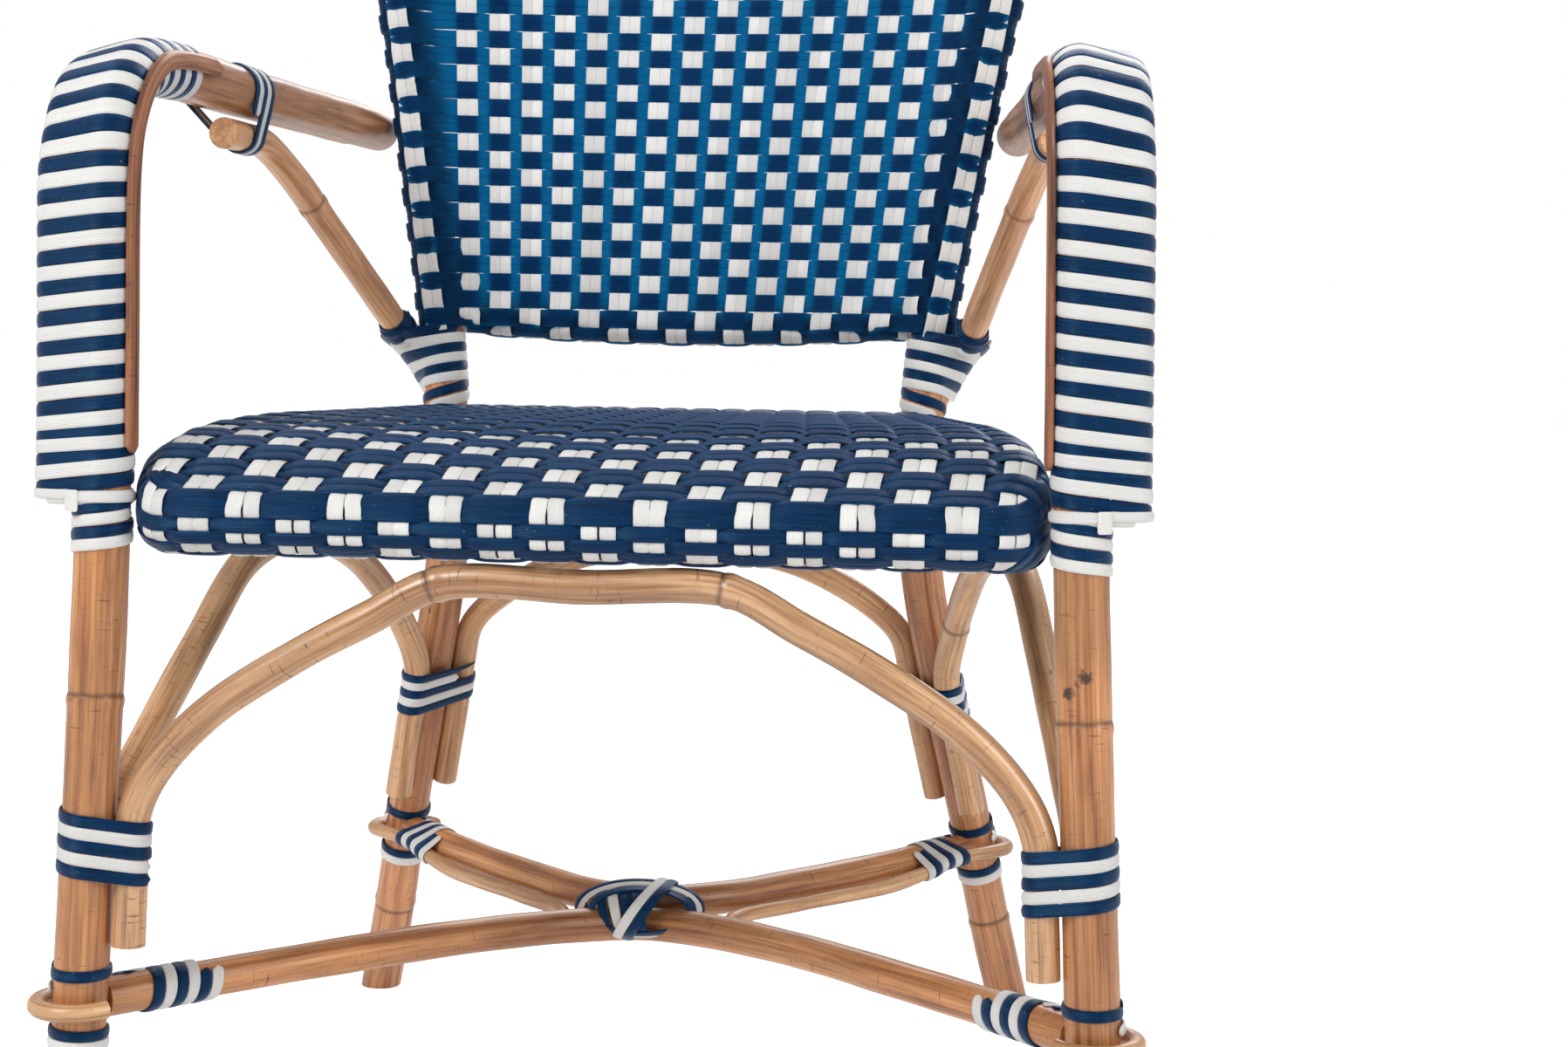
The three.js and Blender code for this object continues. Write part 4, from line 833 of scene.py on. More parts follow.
def bind(name, members, along, reference, start, pitch, navy_loops, white_loops, width,
         white_first=False, phase=0.0, hand=1, squeeze=0.0):
    """A navy and a white strip wound in turn round some poles, on the right and on the left."""
    high = start + pitch * (max(navy_loops, white_loops) + 1) + width
    outline = Outline(members, along, reference, start - width, high, phase)
    settings = {"slack": 0.25, "hand": hand, "squeeze": squeeze}
    higher = {"lift": 0.45, "foot_lift": 0.5} if squeeze else {}
    first, second = start, start + pitch / 2
    if white_first:
        first, second = second, first
    wind_all(name, (
        ("navy", outline, first, pitch, navy_loops, width, settings),
        ("white", outline, second, pitch, white_loops, width, {**settings, **higher}),
    ))


# The poles that bindings go round, each with its diameter
leg_m, outer_m, post_m = (front_leg, MAIN_POLE), (outer_arm, ARM_OUTER_POLE), (hoop, MAIN_POLE)
front_arch_m, rear_arch_m = (front_arch, ARCH_POLE), (rear_arch, REAR_ARCH_POLE)
side_arch_m, brace_m, loop_m = (side_arch, ARCH_POLE), (brace, BRACE_POLE), (loop_cane, LOOP_POLE)

# Heights at which the arm's wrap and the corner binding begin, and those of the leg bindings' middles
ARM_WRAP_Z, CORNER_BINDING_Z = 418.3, 386.7
FRONT_ARCH_BINDING_Z, REAR_LEG_BINDING_Z = 241, 268

bind("arm_wrap", [leg_m, outer_m], front_leg, AXIS_X, front_leg.distance_at_height(ARM_WRAP_Z),
     pitch=16.3, navy_loops=19.5, white_loops=19.1, width=8.0, hand=-1, squeeze=6.2)
bind("seat_corner_binding", [leg_m], front_leg, AXIS_X, front_leg.distance_at_height(CORNER_BINDING_Z),
     pitch=13.2, navy_loops=1.5, white_loops=1.5, width=6.5, white_first=True, hand=-1)
bind("front_arch_binding", [leg_m, front_arch_m, side_arch_m], front_leg, AXIS_X,
     front_leg.distance_at_height(FRONT_ARCH_BINDING_Z - 2.5 * 14.2),
     pitch=14.2, navy_loops=2.5, white_loops=1.5, width=7.0, phase=math.pi)
bind("rear_leg_binding", [post_m, rear_arch_m, side_arch_m], hoop, AXIS_X,
     hoop.distance_at_height(REAR_LEG_BINDING_Z - 2.5 * 12.6),
     pitch=12.6, navy_loops=2.5, white_loops=1.5, width=6.4, hand=-1)
bind("brace_top_binding", [leg_m, outer_m, brace_m], brace, AXIS_X, brace.length - 46,
     pitch=12.4, navy_loops=2.5, white_loops=1.5, width=6.1)
for bow_name, bow in (("rear", rear_bow), ("front", front_bow)):
    bind(bow_name + "_stretcher_binding", [(bow, BOW_POLE), loop_m], bow, UP, 30,
         pitch=14.8, navy_loops=2.9, white_loops=2.9, width=7.2)


def add_post_binding():
    """Bands round the post and the brace's foot, looser bands below them, and a knot on the brace."""
    low = hoop.distance_at_height(450)
    first = hoop.distance_at_height(476)
    at_brace = brace.distance_at_height(508)
    both = Outline([post_m, brace_m], hoop, AXIS_X, low - 10, low + 80)
    post = Outline([post_m], hoop, AXIS_X, low - 10, low + 40)
    knot = Outline([brace_m], brace, AXIS_X, 40, 90)
    wind_all("back_post_binding", (
        ("navy", both, first, 13.6, 2.45, 6.9, {"hand": -1}),
        ("white", both, first - 6.8, 13.6, 2.95, 6.9, {"hand": -1}),
        ("navy", post, low + 4.6, 22.0, 1.0, 6.9, {"share": 0.2, "hand": -1}),
        ("white", post, low + 4.3, 22.0, 0.7, 6.8, {"share": -0.15, "hand": -1, "lift": 0.6}),
        ("navy", knot, at_brace, 5.2, 2.6, 6.0, {"lift": 0.5, "hand": -1}),
        ("navy", knot, at_brace + 11.5, -9.0, 1.1, 5.4, {"lift": 1.9, "share": 0.4}),
        ("white", knot, at_brace - 5.5, 1.6, 0.9, 5.0, {"lift": 1.4, "share": 0.25}),
    ))


add_post_binding()


def add_lashings():
    """Strips that tie the bows' ends to the legs, over and under the bow."""
    for name, leg in (("rear", hoop), ("front", front_leg)):
        base = leg.distance_at_height(STRETCHER_Z)
        outline = Outline([(leg, MAIN_POLE)], leg, AXIS_X, base - 34, base + 34)
        wind_all(name + "_bow_lashing", (
            ("navy", outline, base + 17.0, 3.0, 1.03, 6.5, {"hand": -1}),
            ("navy", outline, base - 15.0, -1.5, 1.03, 6.0, {"hand": -1}),
            ("white", outline, base + 10.5, -6.0, 0.42, 6.2, {"share": 0.32, "lift": 1.5, "hand": -1}),
            ("white", outline, base - 21.4, -1.5, 1.03, 6.4, {"hand": -1}),
        ), solid=False)


add_lashings()


def add_crossing():
    """Strips laid over one another round the crossed bows, like a ball."""
    centre = np.array([-4.0, STRETCHER_Y - 4, STRETCHER_Z - 1])
    axes = np.array([40.5, 28.0, 16.4])
    batches = {"navy": Batch(), "white": Batch()}
    turns = np.linspace(0, 2 * math.pi, 90)
    # Parallel strips: the way square to them, each one's place along it, and how high they lie
    for square, strips, lift in (
        ((1, 0.1, 0.1), ((-0.56, "navy"), (-0.37, "white"), (-0.18, "navy"), (-0.0, "navy")), 0.0),
        ((1, 0.1, 0.05), ((-0.9, "navy"), (0.84, "navy")), 0.6),
        ((0.12, -0.94, 0.2), ((0.12, "navy"), (0.38, "white"), (0.62, "navy")), 1.2),
        ((0.93, -0.1, -0.3), ((0.02, "white"), (0.19, "navy")), 2.8),
    ):
        n = unit(np.array(square, float))
        u = unit(np.cross(n, AXIS_Y + 0.2 * AXIS_X))
        v = np.cross(n, u)
        for offset, color in strips:
            radius = math.sqrt(1 - offset ** 2)
            sphere = n * offset + radius * (u * np.cos(turns)[:, None] + v * np.sin(turns)[:, None])
            facing = unit(sphere / axes)
            at = centre + sphere * axes + facing * (lift + 0.25 * math.sin(offset * 9))
            rings, grain = strip_rings(at, facing, 6.6, STRIP_THICKNESS)
            batches[color].tube(rings, grain, rng.uniform(0, 1))
    build_strips(batches, "stretcher_crossing_binding", pair=False)


add_crossing()


def add_arm_end():
    """The white strip folded round the foot of the arm's wrap, with its tucked end."""
    start = front_leg.distance_at_height(415.8)
    outline = Outline([leg_m, outer_m], front_leg, AXIS_X, start - 14, start + 20)
    batch = Batch()
    wound(batch, outline, start - 1.2, 2.6, 1.12, 8.0, share=-0.1, hand=-1)
    wound(batch, outline, start - 0.6, 1.2, 1.02, 5.4, share=-0.2, lift=1.5, hand=-1)
    d = np.linspace(start - 8.5, start + 3.5, 14)
    at, normal = outline.place(d, np.full(14, 0.765), np.full(14, 2.7))
    rings, grain = strip_rings(at, normal, 8.0 * np.clip(end_taper(d, 1.2), 0.8, 1), STRIP_THICKNESS)
    batch.tube(rings, grain, 0.6)
    batch.build_sides("arm_end_strip_{}", white, "white_strip")


add_arm_end()


def add_edge_canes():
    """Half-round canes laid along the wrapped arms, turned a little toward the front."""
    start = front_leg.distance_at_height(440)
    end = front_leg.distance_at_height(SOLID_WRAP_Z) + SOLID_WRAP_PITCH * 20
    d = np.linspace(start, end, 90)
    at, _, side, third = front_leg.frames(d, AXIS_X)
    foot = MAIN_POLE / 2 + 2 * STRIP_GAP + STRIP_THICKNESS
    turned = math.radians(14)
    facing = -side * math.cos(turned) - third * math.sin(turned)
    rings, grain = strip_rings(at + facing * foot, facing, 11.0 * end_taper(d, 5), 3.2)
    batch = Batch()
    batch.tube(rings, grain, 0.0)
    batch.build_sides("arm_edge_cane_strip_{}", bark_rattan, "hoop_rattan", "arm_edge_cane_{}")


add_edge_canes()


# Woven back

BACK_PITCH = 21.3
BACK_FIRST_X = 14.0
BACK_COLUMNS = (-9, 8)
ROW_PITCH = 12.7
ROW_LOW = 512.4
# How far the weave's middle sheet lies in front of the posts' axes
SHEET_FORWARD = 8.5
BACK_SWING = 0.9
HOOP_SKIN = MAIN_POLE / 2 + 1.2
RAIL_SKIN = BACK_RAIL_POLE / 2 + 1.1
# How near the hoop and the lower rail the sheet begins to rise, and over how much it does so
HOOP_NEAR, HOOP_EASE = 25, 20
RAIL_NEAR, RAIL_EASE = 20, 16
# Strips turn round the hoop where its outward way has more than this in X, or in Z for the columns
STEEP_HOOP, LEVEL_HOOP = 0.72, 0.69
ROLL_END, ROLL_STEP = 200, 6


def flat_wave(wave, sharpness=2.2):
    """A wave with its tops and bottoms drawn out."""
    return np.tanh(sharpness * wave) / math.tanh(sharpness)


def column_x(k, z):
    """Columns fan out a little upward; the outermost two run along the posts."""
    if k == BACK_COLUMNS[1]:
        return post_half_width(z) + 3.5
    if k == BACK_COLUMNS[0]:
        return -post_half_width(z) - 1.5
    x = BACK_FIRST_X + BACK_PITCH * k
    return x + 0.0006 * (z - 541) * (x + 45)


def column_phase(x, z):
    """Where x lies among the columns, in columns, at height z."""
    low, high = BACK_COLUMNS
    xs = [column_x(k, z) for k in range(low, high + 1)]
    return np.interp(x, [xs[0] - BACK_PITCH, *xs, xs[-1] + BACK_PITCH], np.arange(low - 1, high + 2))


HOOP_PATH = hoop.at(np.arange(0, hoop.length, 3.0))
HOOP_PATH = HOOP_PATH[HOOP_PATH[:, 2] > 470]
HOOP_WAY = unit(np.gradient(HOOP_PATH, axis=0))
HOOP_OUT = np.stack([HOOP_WAY[:, 2], -HOOP_WAY[:, 0]], -1)


def back_surface(x, z):
    """The face that the back's strips lie on: a sheet that rises over the hoop and the lower rail."""
    x, z = np.broadcast_arrays(np.asarray(x, float), np.asarray(z, float))
    flat = np.stack([x.ravel(), z.ravel()], 1)
    squares = ((flat[:, None] - HOOP_PATH[None, :, ::2]) ** 2).sum(-1)
    nearest = squares.argmin(1)
    near = np.sqrt(squares[np.arange(len(flat)), nearest]).reshape(x.shape)
    rise = eased((HOOP_NEAR - near) / HOOP_EASE)
    depth = back_depth(x, z)
    depth = depth + (HOOP_PATH[nearest, 1].reshape(x.shape) - depth) * rise
    low = eased((RAIL_NEAR - np.abs(z - rail_z(x))) / RAIL_EASE)
    lifted = np.maximum((HOOP_SKIN - SHEET_FORWARD) * rise, (RAIL_SKIN - SHEET_FORWARD) * low)
    beyond = ((flat - HOOP_PATH[nearest, ::2]) * HOOP_OUT[nearest]).sum(-1).reshape(x.shape) > 0
    round_side = HOOP_PATH[nearest, 1].reshape(x.shape) - np.sqrt(np.maximum(0, HOOP_SKIN ** 2 - near ** 2))
    return np.stack([x, np.where(beyond, round_side, depth - SHEET_FORWARD - lifted), z], -1)


def back_normals(x, z, reach=1.5):
    """The ways out of that face."""
    along_x = back_surface(x + reach, z) - back_surface(x - reach, z)
    along_z = back_surface(x, z + reach) - back_surface(x, z - reach)
    return unit(np.cross(along_x, along_z))


def smooth(points):
    """Each point moved to the mean of itself and its two neighbours."""
    padded = np.pad(points, ((1, 1), (0, 0)), mode="edge")
    return np.stack([np.convolve(column, np.ones(3) / 3, "valid") for column in padded.T], 1)


def roll_angles(start):
    return np.radians(np.arange(start, ROLL_END + 1, ROLL_STEP))


def roll_points(axis, outward, start, radius):
    """Points and normals round a pole, from near its front (0) over its outward side to its rear."""
    angles = roll_angles(start)[:, None]
    normal = outward * np.sin(angles) - AXIS_Y * np.cos(angles)
    return axis + normal * radius, normal


def resample(points, normals, phase, step=1.5):
    """A path with even steps."""
    lengths = run_lengths(points)
    keep = np.concatenate([[True], np.diff(lengths) > 1e-6])
    lengths, points, normals, phase = lengths[keep], points[keep], normals[keep], phase[keep]
    wanted = np.linspace(0, lengths[-1], max(2, int(lengths[-1] / step)))
    return (
        read_along(wanted, lengths, points), unit(read_along(wanted, lengths, normals)),
        np.interp(wanted, lengths, phase),
    )


def joined(parts):
    """One path from several: points, normals and phases."""
    return tuple(np.concatenate(group) for group in zip(*parts))


def woven_strip(batch, path, sign, width, swing, thickness, pinch=0.0, side=0.0, inset=0.0):
    """A strip that passes over where phase is even and under where it is odd (or the reverse)."""
    at, n, phase = resample(*path)
    over = flat_wave(sign * np.cos(math.pi * phase))
    across = np.cross(unit(np.gradient(at, axis=0)), n)
    spread = side * (1 + pinch * 0.5 * over)
    centre = smooth(at + n * (swing * over - inset)[:, None] + across * spread[:, None])
    rings, grain = strip_rings(centre, n, width * (1 + pinch * 0.5 * over), thickness)
    batch.tube(rings, grain, rng.uniform(0, 1))


def parity(number):
    return 1 if number % 2 == 0 else -1


def hoop_crossing(z):
    """Axis point and outward way of the hoop's right side at a height."""
    path = hoop.path[: len(hoop.path) // 2 + 1]
    path = path[path[:, 2] > 420]
    i = int(np.argmax(path[:, 2] >= z))
    way = unit(path[min(i + 3, len(path) - 1)] - path[max(i - 3, 0)])
    return np.array([*path[i, :2], z]), unit(np.array([way[2], 0, -way[0]]))


def weft_path(z):
    """Path of a strip across the back, which turns round the hoop where the hoop is steep."""
    axis, outward = hoop_crossing(z)
    steep = outward[0] > STEEP_HOOP
    reach = axis[0] if steep else axis[0] - 8
    xs = np.linspace(-reach, reach, 260)
    zs = np.full_like(xs, z)
    phase = column_phase(xs, z)
    body = (back_surface(xs, zs), back_normals(xs, zs), phase)
    if not steep:
        return body
    tail, tail_n = roll_points(axis, outward, 6, HOOP_SKIN)
    further = np.linspace(0.1, 2.0, len(tail))
    head = ((tail * FLIP)[::-1], (tail_n * FLIP)[::-1], (phase[0] - further)[::-1])
    return joined([head, body, (tail, tail_n, phase[-1] + further)])


def add_back():
    """Rows across the back and round its lower rail, and then the columns."""
    blue, pale = Batch(), Batch()
    for j in range(int((HOOP_TOP_Z - ROW_LOW) / ROW_PITCH)):
        for side in (-1, 1):
            z = ROW_LOW + ROW_PITCH * (j + 0.5) + side * 3.1 + rng.normal(0, 0.12)
            woven_strip(blue, weft_path(z), -parity(j), 6.8, BACK_SWING, 0.85)
    # The rows round the lower rail, by the angles down its front at which their strips lie
    xs = np.linspace(-158, 158, 240)
    axis = np.stack([xs, back_depth(xs, rail_z(xs)), rail_z(xs)], 1)
    for j, angles in ((-1, (22, 50)), (-2, (82, 114)), (-3, (146, 178))):
        for turn in np.radians(angles):
            normals = np.tile([0.0, -math.cos(turn), -math.sin(turn)], (len(xs), 1))
            path = (axis + normals * RAIL_SKIN, normals, column_phase(xs, 505.0))
            woven_strip(blue, path, -parity(j), 6.0, BACK_SWING, 1.1)
    for k in range(BACK_COLUMNS[0], BACK_COLUMNS[1] + 1):
        for side in (-1, 1):
            woven_strip(pale, warp_path(k), parity(k), 7.4, BACK_SWING, 0.85, side=side * 3.75)
    blue.build("back_weave_navy_strips", back_navy, "woven_strip", ["back_weave"])
    pale.build("back_weave_white_strips", white, "woven_strip", ["back_weave"])


def warp_path(k):
    """Path of a column, from round the lower rail to over the hoop's top."""
    edge = k in BACK_COLUMNS
    low = 508.0 if edge else float(rail_z(abs(column_x(k, 515.0))))
    zs = np.arange(low, HOOP_CORNER_Z if edge else HOOP_TOP_Z, 1.5)
    xs = column_x(k, zs)
    if not edge:
        inside = zs < np.array([hoop_top_z(x) for x in xs])
        zs, xs = zs[inside], xs[inside]
    phase = (zs - ROW_LOW) / ROW_PITCH - 0.5
    parts = [(back_surface(xs, zs), back_normals(xs, zs), phase)]
    if edge:
        return joined(parts)
    axis = np.array([xs[0], float(back_depth(xs[0], rail_z(xs[0]))), float(rail_z(xs[0]))])
    roll, roll_n = roll_points(axis, -UP, 4, RAIL_SKIN)
    below = phase[0] - roll_angles(4) * RAIL_SKIN / ROW_PITCH
    parts.insert(0, (roll[::-1], roll_n[::-1], below[::-1]))
    i = int(np.argmin(np.abs(HOOP_PATH[:, 0] - xs[-1]) + 5 * (HOOP_PATH[:, 2] < HOOP_CORNER_Z)))
    way = unit(HOOP_PATH[max(i - 1, 0)] - HOOP_PATH[min(i + 1, len(HOOP_PATH) - 1)])
    outward = unit(np.array([-way[2], 0, way[0]]))
    if outward[2] < 0:
        outward = -outward
    if outward[2] > LEVEL_HOOP:
        above = phase[-1] + roll_angles(6) * HOOP_SKIN / ROW_PITCH
        parts.append((*roll_points(HOOP_PATH[i], outward, 6, HOOP_SKIN), above))
    return joined(parts)


def hoop_top_z(x):
    """Height of the hoop's axis over x."""
    past = max(0.0, abs(x) - HOOP_CORNER_X) / HOOP_CORNER
    return HOOP_CORNER_Z + HOOP_CORNER * math.sqrt(max(0.0, 1 - min(1.0, past) ** 2))


add_back()


def add_top_sleeve():
    """Navy rings between the white strips round the top rail."""
    batch = Batch()
    low = hoop.distance_at_height(522)
    high = hoop.length - low
    outline = Outline([post_m], hoop, AXIS_Y, low - 5, high + 5)
    for d in np.arange(low, high, 6.2):
        wound(batch, outline, d, 0.0, 1.0, 6.1, steps=40, lift=0.1, thickness=0.75)
    batch.build("back_edge_weave_strips", navy, "woven_strip", ["back_edge_weave"])


add_top_sleeve()


# Woven seat

# Radius of the seat's rolled edges
SEAT_R = 19.8
SEAT_TOP = 457.0
SEAT_UNDER = 384.0
SEAT_FRONT = -19.5
HIGH_ROLL_Z = SEAT_TOP - SEAT_R
LOW_ROLL_Z = SEAT_UNDER + SEAT_R
# The top drops toward the front by SEAT_DROP over FALL_DEPTH, for the most part within FALL_LENGTH
SEAT_DROP = HIGH_ROLL_Z - LOW_ROLL_Z - 3.3
FALL_START = SEAT_FRONT + SEAT_R * 2 / 3
FALL_DEPTH = 156.0
FALL_LENGTH = 52.0
FRONT_CORNER_R = 40.0
REAR_CORNER_R = 58.0
SEAT_PITCH = 27.6
SEAT_FIRST_X = -17.0
# How much the columns close up toward the rear, and how far they drift to one side
SEAT_FAN = 0.246
SEAT_DRIFT = 8.5
CORNER_RISE = 4.0
SEAT_HALF = 234.0
SEAT_COLUMNS = (-8, 9)
SEAT_ROW = 14.3
TOP_SWING, TOP_INSET = 1.7, 2.9
FRONT_SWING, FRONT_INSET = 1.1, 2.3
# Lines between the front rows, by distance down the front roll; the first is the upper edge of row 0
ROW_LINES = (-10.2, 2.9, 19.7, 27.9, 35.6, 46.0, 58.0)
# Distances down a roll are measured from here: the roll's turn from the level way out
ROLL_START = math.radians(55)
# How far outside the rim the paths over the top end and those down the edge begin
WALL_START = 18.7


def waterfall(y):
    """How far the seat has dropped below its top on the way to the front edge."""
    run = np.clip(np.asarray(y, float) - FALL_START, 0, FALL_DEPTH)
    end = math.exp(-FALL_DEPTH / FALL_LENGTH)
    return SEAT_DROP * (np.exp(-run / FALL_LENGTH) - end) / (1 - end)


def seat_corners():
    flat = 0.976
    bound = MAIN_POLE / 2 + STRIP_GAP + STRIP_THICKNESS
    leg = front_leg.at_height(HIGH_ROLL_Z)
    y = SEAT_FRONT + FRONT_CORNER_R
    reach = (FRONT_CORNER_R + bound) * flat + 2 * SEAT_GAP
    front = (leg[0] - math.sqrt(reach ** 2 - (y - leg[1]) ** 2), y)
    post = hoop.at_height(HIGH_ROLL_Z)
    x = 195 - REAR_CORNER_R
    reach = (REAR_CORNER_R + MAIN_POLE / 2) * flat + SEAT_GAP
    return front, (x, post[1] - math.sqrt(reach ** 2 - (post[0] - x) ** 2))


FRONT_C, REAR_C = seat_corners()
ACROSS, BACK = FRONT_C[0] - REAR_C[0], REAR_C[1] - FRONT_C[1]
SIDE_TURN = math.acos((REAR_CORNER_R - FRONT_CORNER_R) / math.hypot(ACROSS, BACK)) - math.atan2(BACK, ACROSS)
FRONT_RIM_R, REAR_RIM_R = FRONT_CORNER_R - SEAT_R, REAR_CORNER_R - SEAT_R
REAR_RIM_Y = REAR_C[1] + REAR_RIM_R


def corner_rim(centre, radius, turns):
    n = np.stack([np.cos(turns), np.sin(turns)], -1)
    return np.array(centre) + n * radius, n


def seat_rim():
    """Right half of the line over the rails' middles, and the way out, from front to rear."""
    xs = np.arange(0, FRONT_C[0], 2.0)
    parts = [(np.stack([xs, 0 * xs + SEAT_FRONT + SEAT_R], 1), np.repeat([[0.0, -1.0]], len(xs), 0))]
    parts.append(corner_rim(FRONT_C, FRONT_RIM_R, np.linspace(-math.pi / 2, SIDE_TURN, 30)))
    start, end = parts[-1][0][-1], corner_rim(REAR_C, REAR_RIM_R, SIDE_TURN)[0]
    steps = np.linspace(0, 1, 160)[1:-1, None]
    parts.append((start + (end - start) * steps, np.repeat(parts[-1][1][-1:], len(steps), 0)))
    parts.append(corner_rim(REAR_C, REAR_RIM_R, np.linspace(SIDE_TURN, math.pi / 2, 40)))
    xs = np.arange(REAR_C[0], -0.1, -2.0)[1:]
    parts.append((np.stack([xs, 0 * xs + REAR_RIM_Y], 1), np.repeat([[0.0, 1.0]], len(xs), 0)))
    return joined(parts)


RIM, RIM_N = seat_rim()
RIM_D = run_lengths(RIM)


def rim_foot(x, y):
    """Nearest place on the rim, and how far outside it a point lies."""
    x, y = np.broadcast_arrays(np.asarray(x, float), np.asarray(y, float))
    flat = np.stack([np.abs(x).ravel(), y.ravel()], 1)
    nearest = ((flat[:, None] - RIM[None]) ** 2).sum(-1).argmin(1)
    out = ((flat - RIM[nearest]) * RIM_N[nearest]).sum(-1)
    return (RIM_D[nearest] * np.where(x.ravel() < 0, -1, 1)).reshape(x.shape), out.reshape(x.shape)


def seat_height(x, y):
    """Height of the seat's top; toward the corners it climbs sooner behind the front edge."""
    y = np.asarray(y, float)
    out = np.clip(rim_foot(x, y)[1], 0, SEAT_R * 0.999)
    corner = eased((np.abs(x) - 20) / 170) * eased((y + 10) / 40)
    corner = corner * np.exp(-np.maximum(0, y - 60) / 70)
    return SEAT_TOP - waterfall(y) + CORNER_RISE * corner - SEAT_R + np.sqrt(SEAT_R ** 2 - out ** 2)


def top_surface(x, y, step=0.5):
    """Points and normals on the seat's top."""
    x, y = np.broadcast_arrays(np.asarray(x, float), np.asarray(y, float))
    slope_x = (seat_height(x + step, y) - seat_height(x - step, y)) / (2 * step)
    slope_y = (seat_height(x, y + step) - seat_height(x, y - step)) / (2 * step)
    normals = unit(np.stack([-slope_x, -slope_y, np.ones_like(slope_x)], -1))
    return np.stack([x, y, seat_height(x, y)], -1), normals


def rim_at(distance):
    """Places on the rim and the ways out; distances on the left half are negative."""
    flip = np.stack([np.where(distance < 0, -1.0, 1.0), np.ones(len(distance))], -1)
    d = np.abs(distance)
    return read_along(d, RIM_D, RIM) * flip, unit(read_along(d, RIM_D, RIM_N) * flip)


UPPER_TURNS = np.radians(np.arange(90, -1, -4.5))
LOWER_TURNS = np.radians(np.arange(0, -91, -4.5))
LIP_STEPS = (-4.0, -8.0, -12.0, -16.0)


def roll_profile(distance):
    """Points down the seat's edge at some places on the rim, and how far down each lies."""
    rim, out = rim_at(np.atleast_1d(distance))
    columns = []
    for turn in UPPER_TURNS:
        xy = rim + out * SEAT_R * math.cos(turn)
        columns.append(np.column_stack([xy, HIGH_ROLL_Z - waterfall(xy[:, 1]) + SEAT_R * math.sin(turn)]))
    for turn in LOWER_TURNS:
        xy = rim + out * SEAT_R * math.cos(turn)
        columns.append(np.column_stack([xy, np.full(len(xy), LOW_ROLL_Z + SEAT_R * math.sin(turn))]))
    for step in LIP_STEPS:
        columns.append(np.column_stack([rim + out * step, np.full(len(rim), SEAT_UNDER)]))
    points = np.stack(columns, 1)
    down = np.stack([run_lengths(line) for line in points])
    place = (math.pi / 2 - ROLL_START) / (UPPER_TURNS[0] - UPPER_TURNS[1])
    i = int(place)
    zero = down[:, i] * (1 - place + i) + down[:, i + 1] * (place - i)
    steps = np.gradient(points, axis=1)
    around_rim = np.column_stack([-out[:, 1], out[:, 0], np.zeros(len(rim))])[:, None]
    normals = unit(np.cross(steps, np.broadcast_to(around_rim, steps.shape)))
    return points, normals, down - zero[:, None]


TOP_Y = np.concatenate([
    np.arange(SEAT_FRONT + 0.4, 10, 0.2), np.arange(10, REAR_RIM_Y, 1.0),
    np.arange(REAR_RIM_Y, REAR_RIM_Y + SEAT_R - 0.4, 0.2),
])
TOP_RUN = np.concatenate([[0], np.cumsum(np.hypot(np.diff(TOP_Y), np.diff(seat_height(0 * TOP_Y, TOP_Y))))])
TOP_RUN -= np.interp(SEAT_FRONT + SEAT_R * (1 - math.cos(ROLL_START)), TOP_Y, TOP_RUN)


def row_number(e):
    """Which row lies at a distance down the front roll; rows on top have negative numbers."""
    behind = -0.5 + (e - ROW_LINES[0]) / SEAT_ROW
    return np.where(e < ROW_LINES[0], behind, np.interp(e, ROW_LINES, np.arange(len(ROW_LINES)) - 0.5))


def top_row_number(y):
    return row_number(-np.interp(y, TOP_Y, TOP_RUN))


# The row number at the place on the rear edge from which distances down it are measured
REAR_NUMBER = float(top_row_number(REAR_RIM_Y + SEAT_R * math.cos(ROLL_START)))


def row_y(j):
    e = ROW_LINES[0] + (j + 0.5) * SEAT_ROW
    return float(np.interp(-e, TOP_RUN, TOP_Y))


def seat_column_x(k, y):
    """Columns run back from the front edge, drift a little and close up toward the rear."""
    x0 = SEAT_FIRST_X + SEAT_PITCH * k
    y = np.asarray(y, float)
    drift = SEAT_DRIFT * (1 - np.exp(-np.maximum(0, y + 15) / 45)) * (1.35 - x0 / 400)
    return x0 * (1 - SEAT_FAN * np.clip((y - 30) / 365, 0, 1)) + drift


def seat_column_number(x, y):
    """Where X lies among the columns, held half a column past the outermost ones."""
    ks = np.arange(SEAT_COLUMNS[0], SEAT_COLUMNS[1] + 1)
    table = np.stack([seat_column_x(k, y) for k in ks], -1)
    number = np.empty(len(x))
    for i in range(len(x)):
        number[i] = np.interp(x[i], table[i], ks)
        if x[i] < table[i, 0]:
            number[i] = ks[0] - min(0.5, (table[i, 0] - x[i]) / SEAT_PITCH)
        if x[i] > table[i, -1]:
            number[i] = ks[-1] + min(0.5, (x[i] - table[i, -1]) / SEAT_PITCH)
    return number


# The place in a profile where the paths down the edge begin, just outside WALL_START
TAIL = int(np.argmax(UPPER_TURNS < math.radians(18.5)))


def tail_down(distance, sweep=0.0):
    """The lower part of the seat's edge at one place on the rim, which may sweep forward on its way down."""
    share = np.clip((np.arange(len(UPPER_TURNS) + len(LOWER_TURNS) + len(LIP_STEPS)) - TAIL) / 26, 0, 1)
    places = distance - math.copysign(sweep, distance) * share
    points, normals, down = roll_profile(places)
    pick = np.arange(len(places))
    return points[pick, pick][TAIL:], normals[pick, pick][TAIL:], down[pick, pick][TAIL:]


# Between these depths a column's rows are counted along the top alone
TOP_FROM, TOP_TO = 60, 340


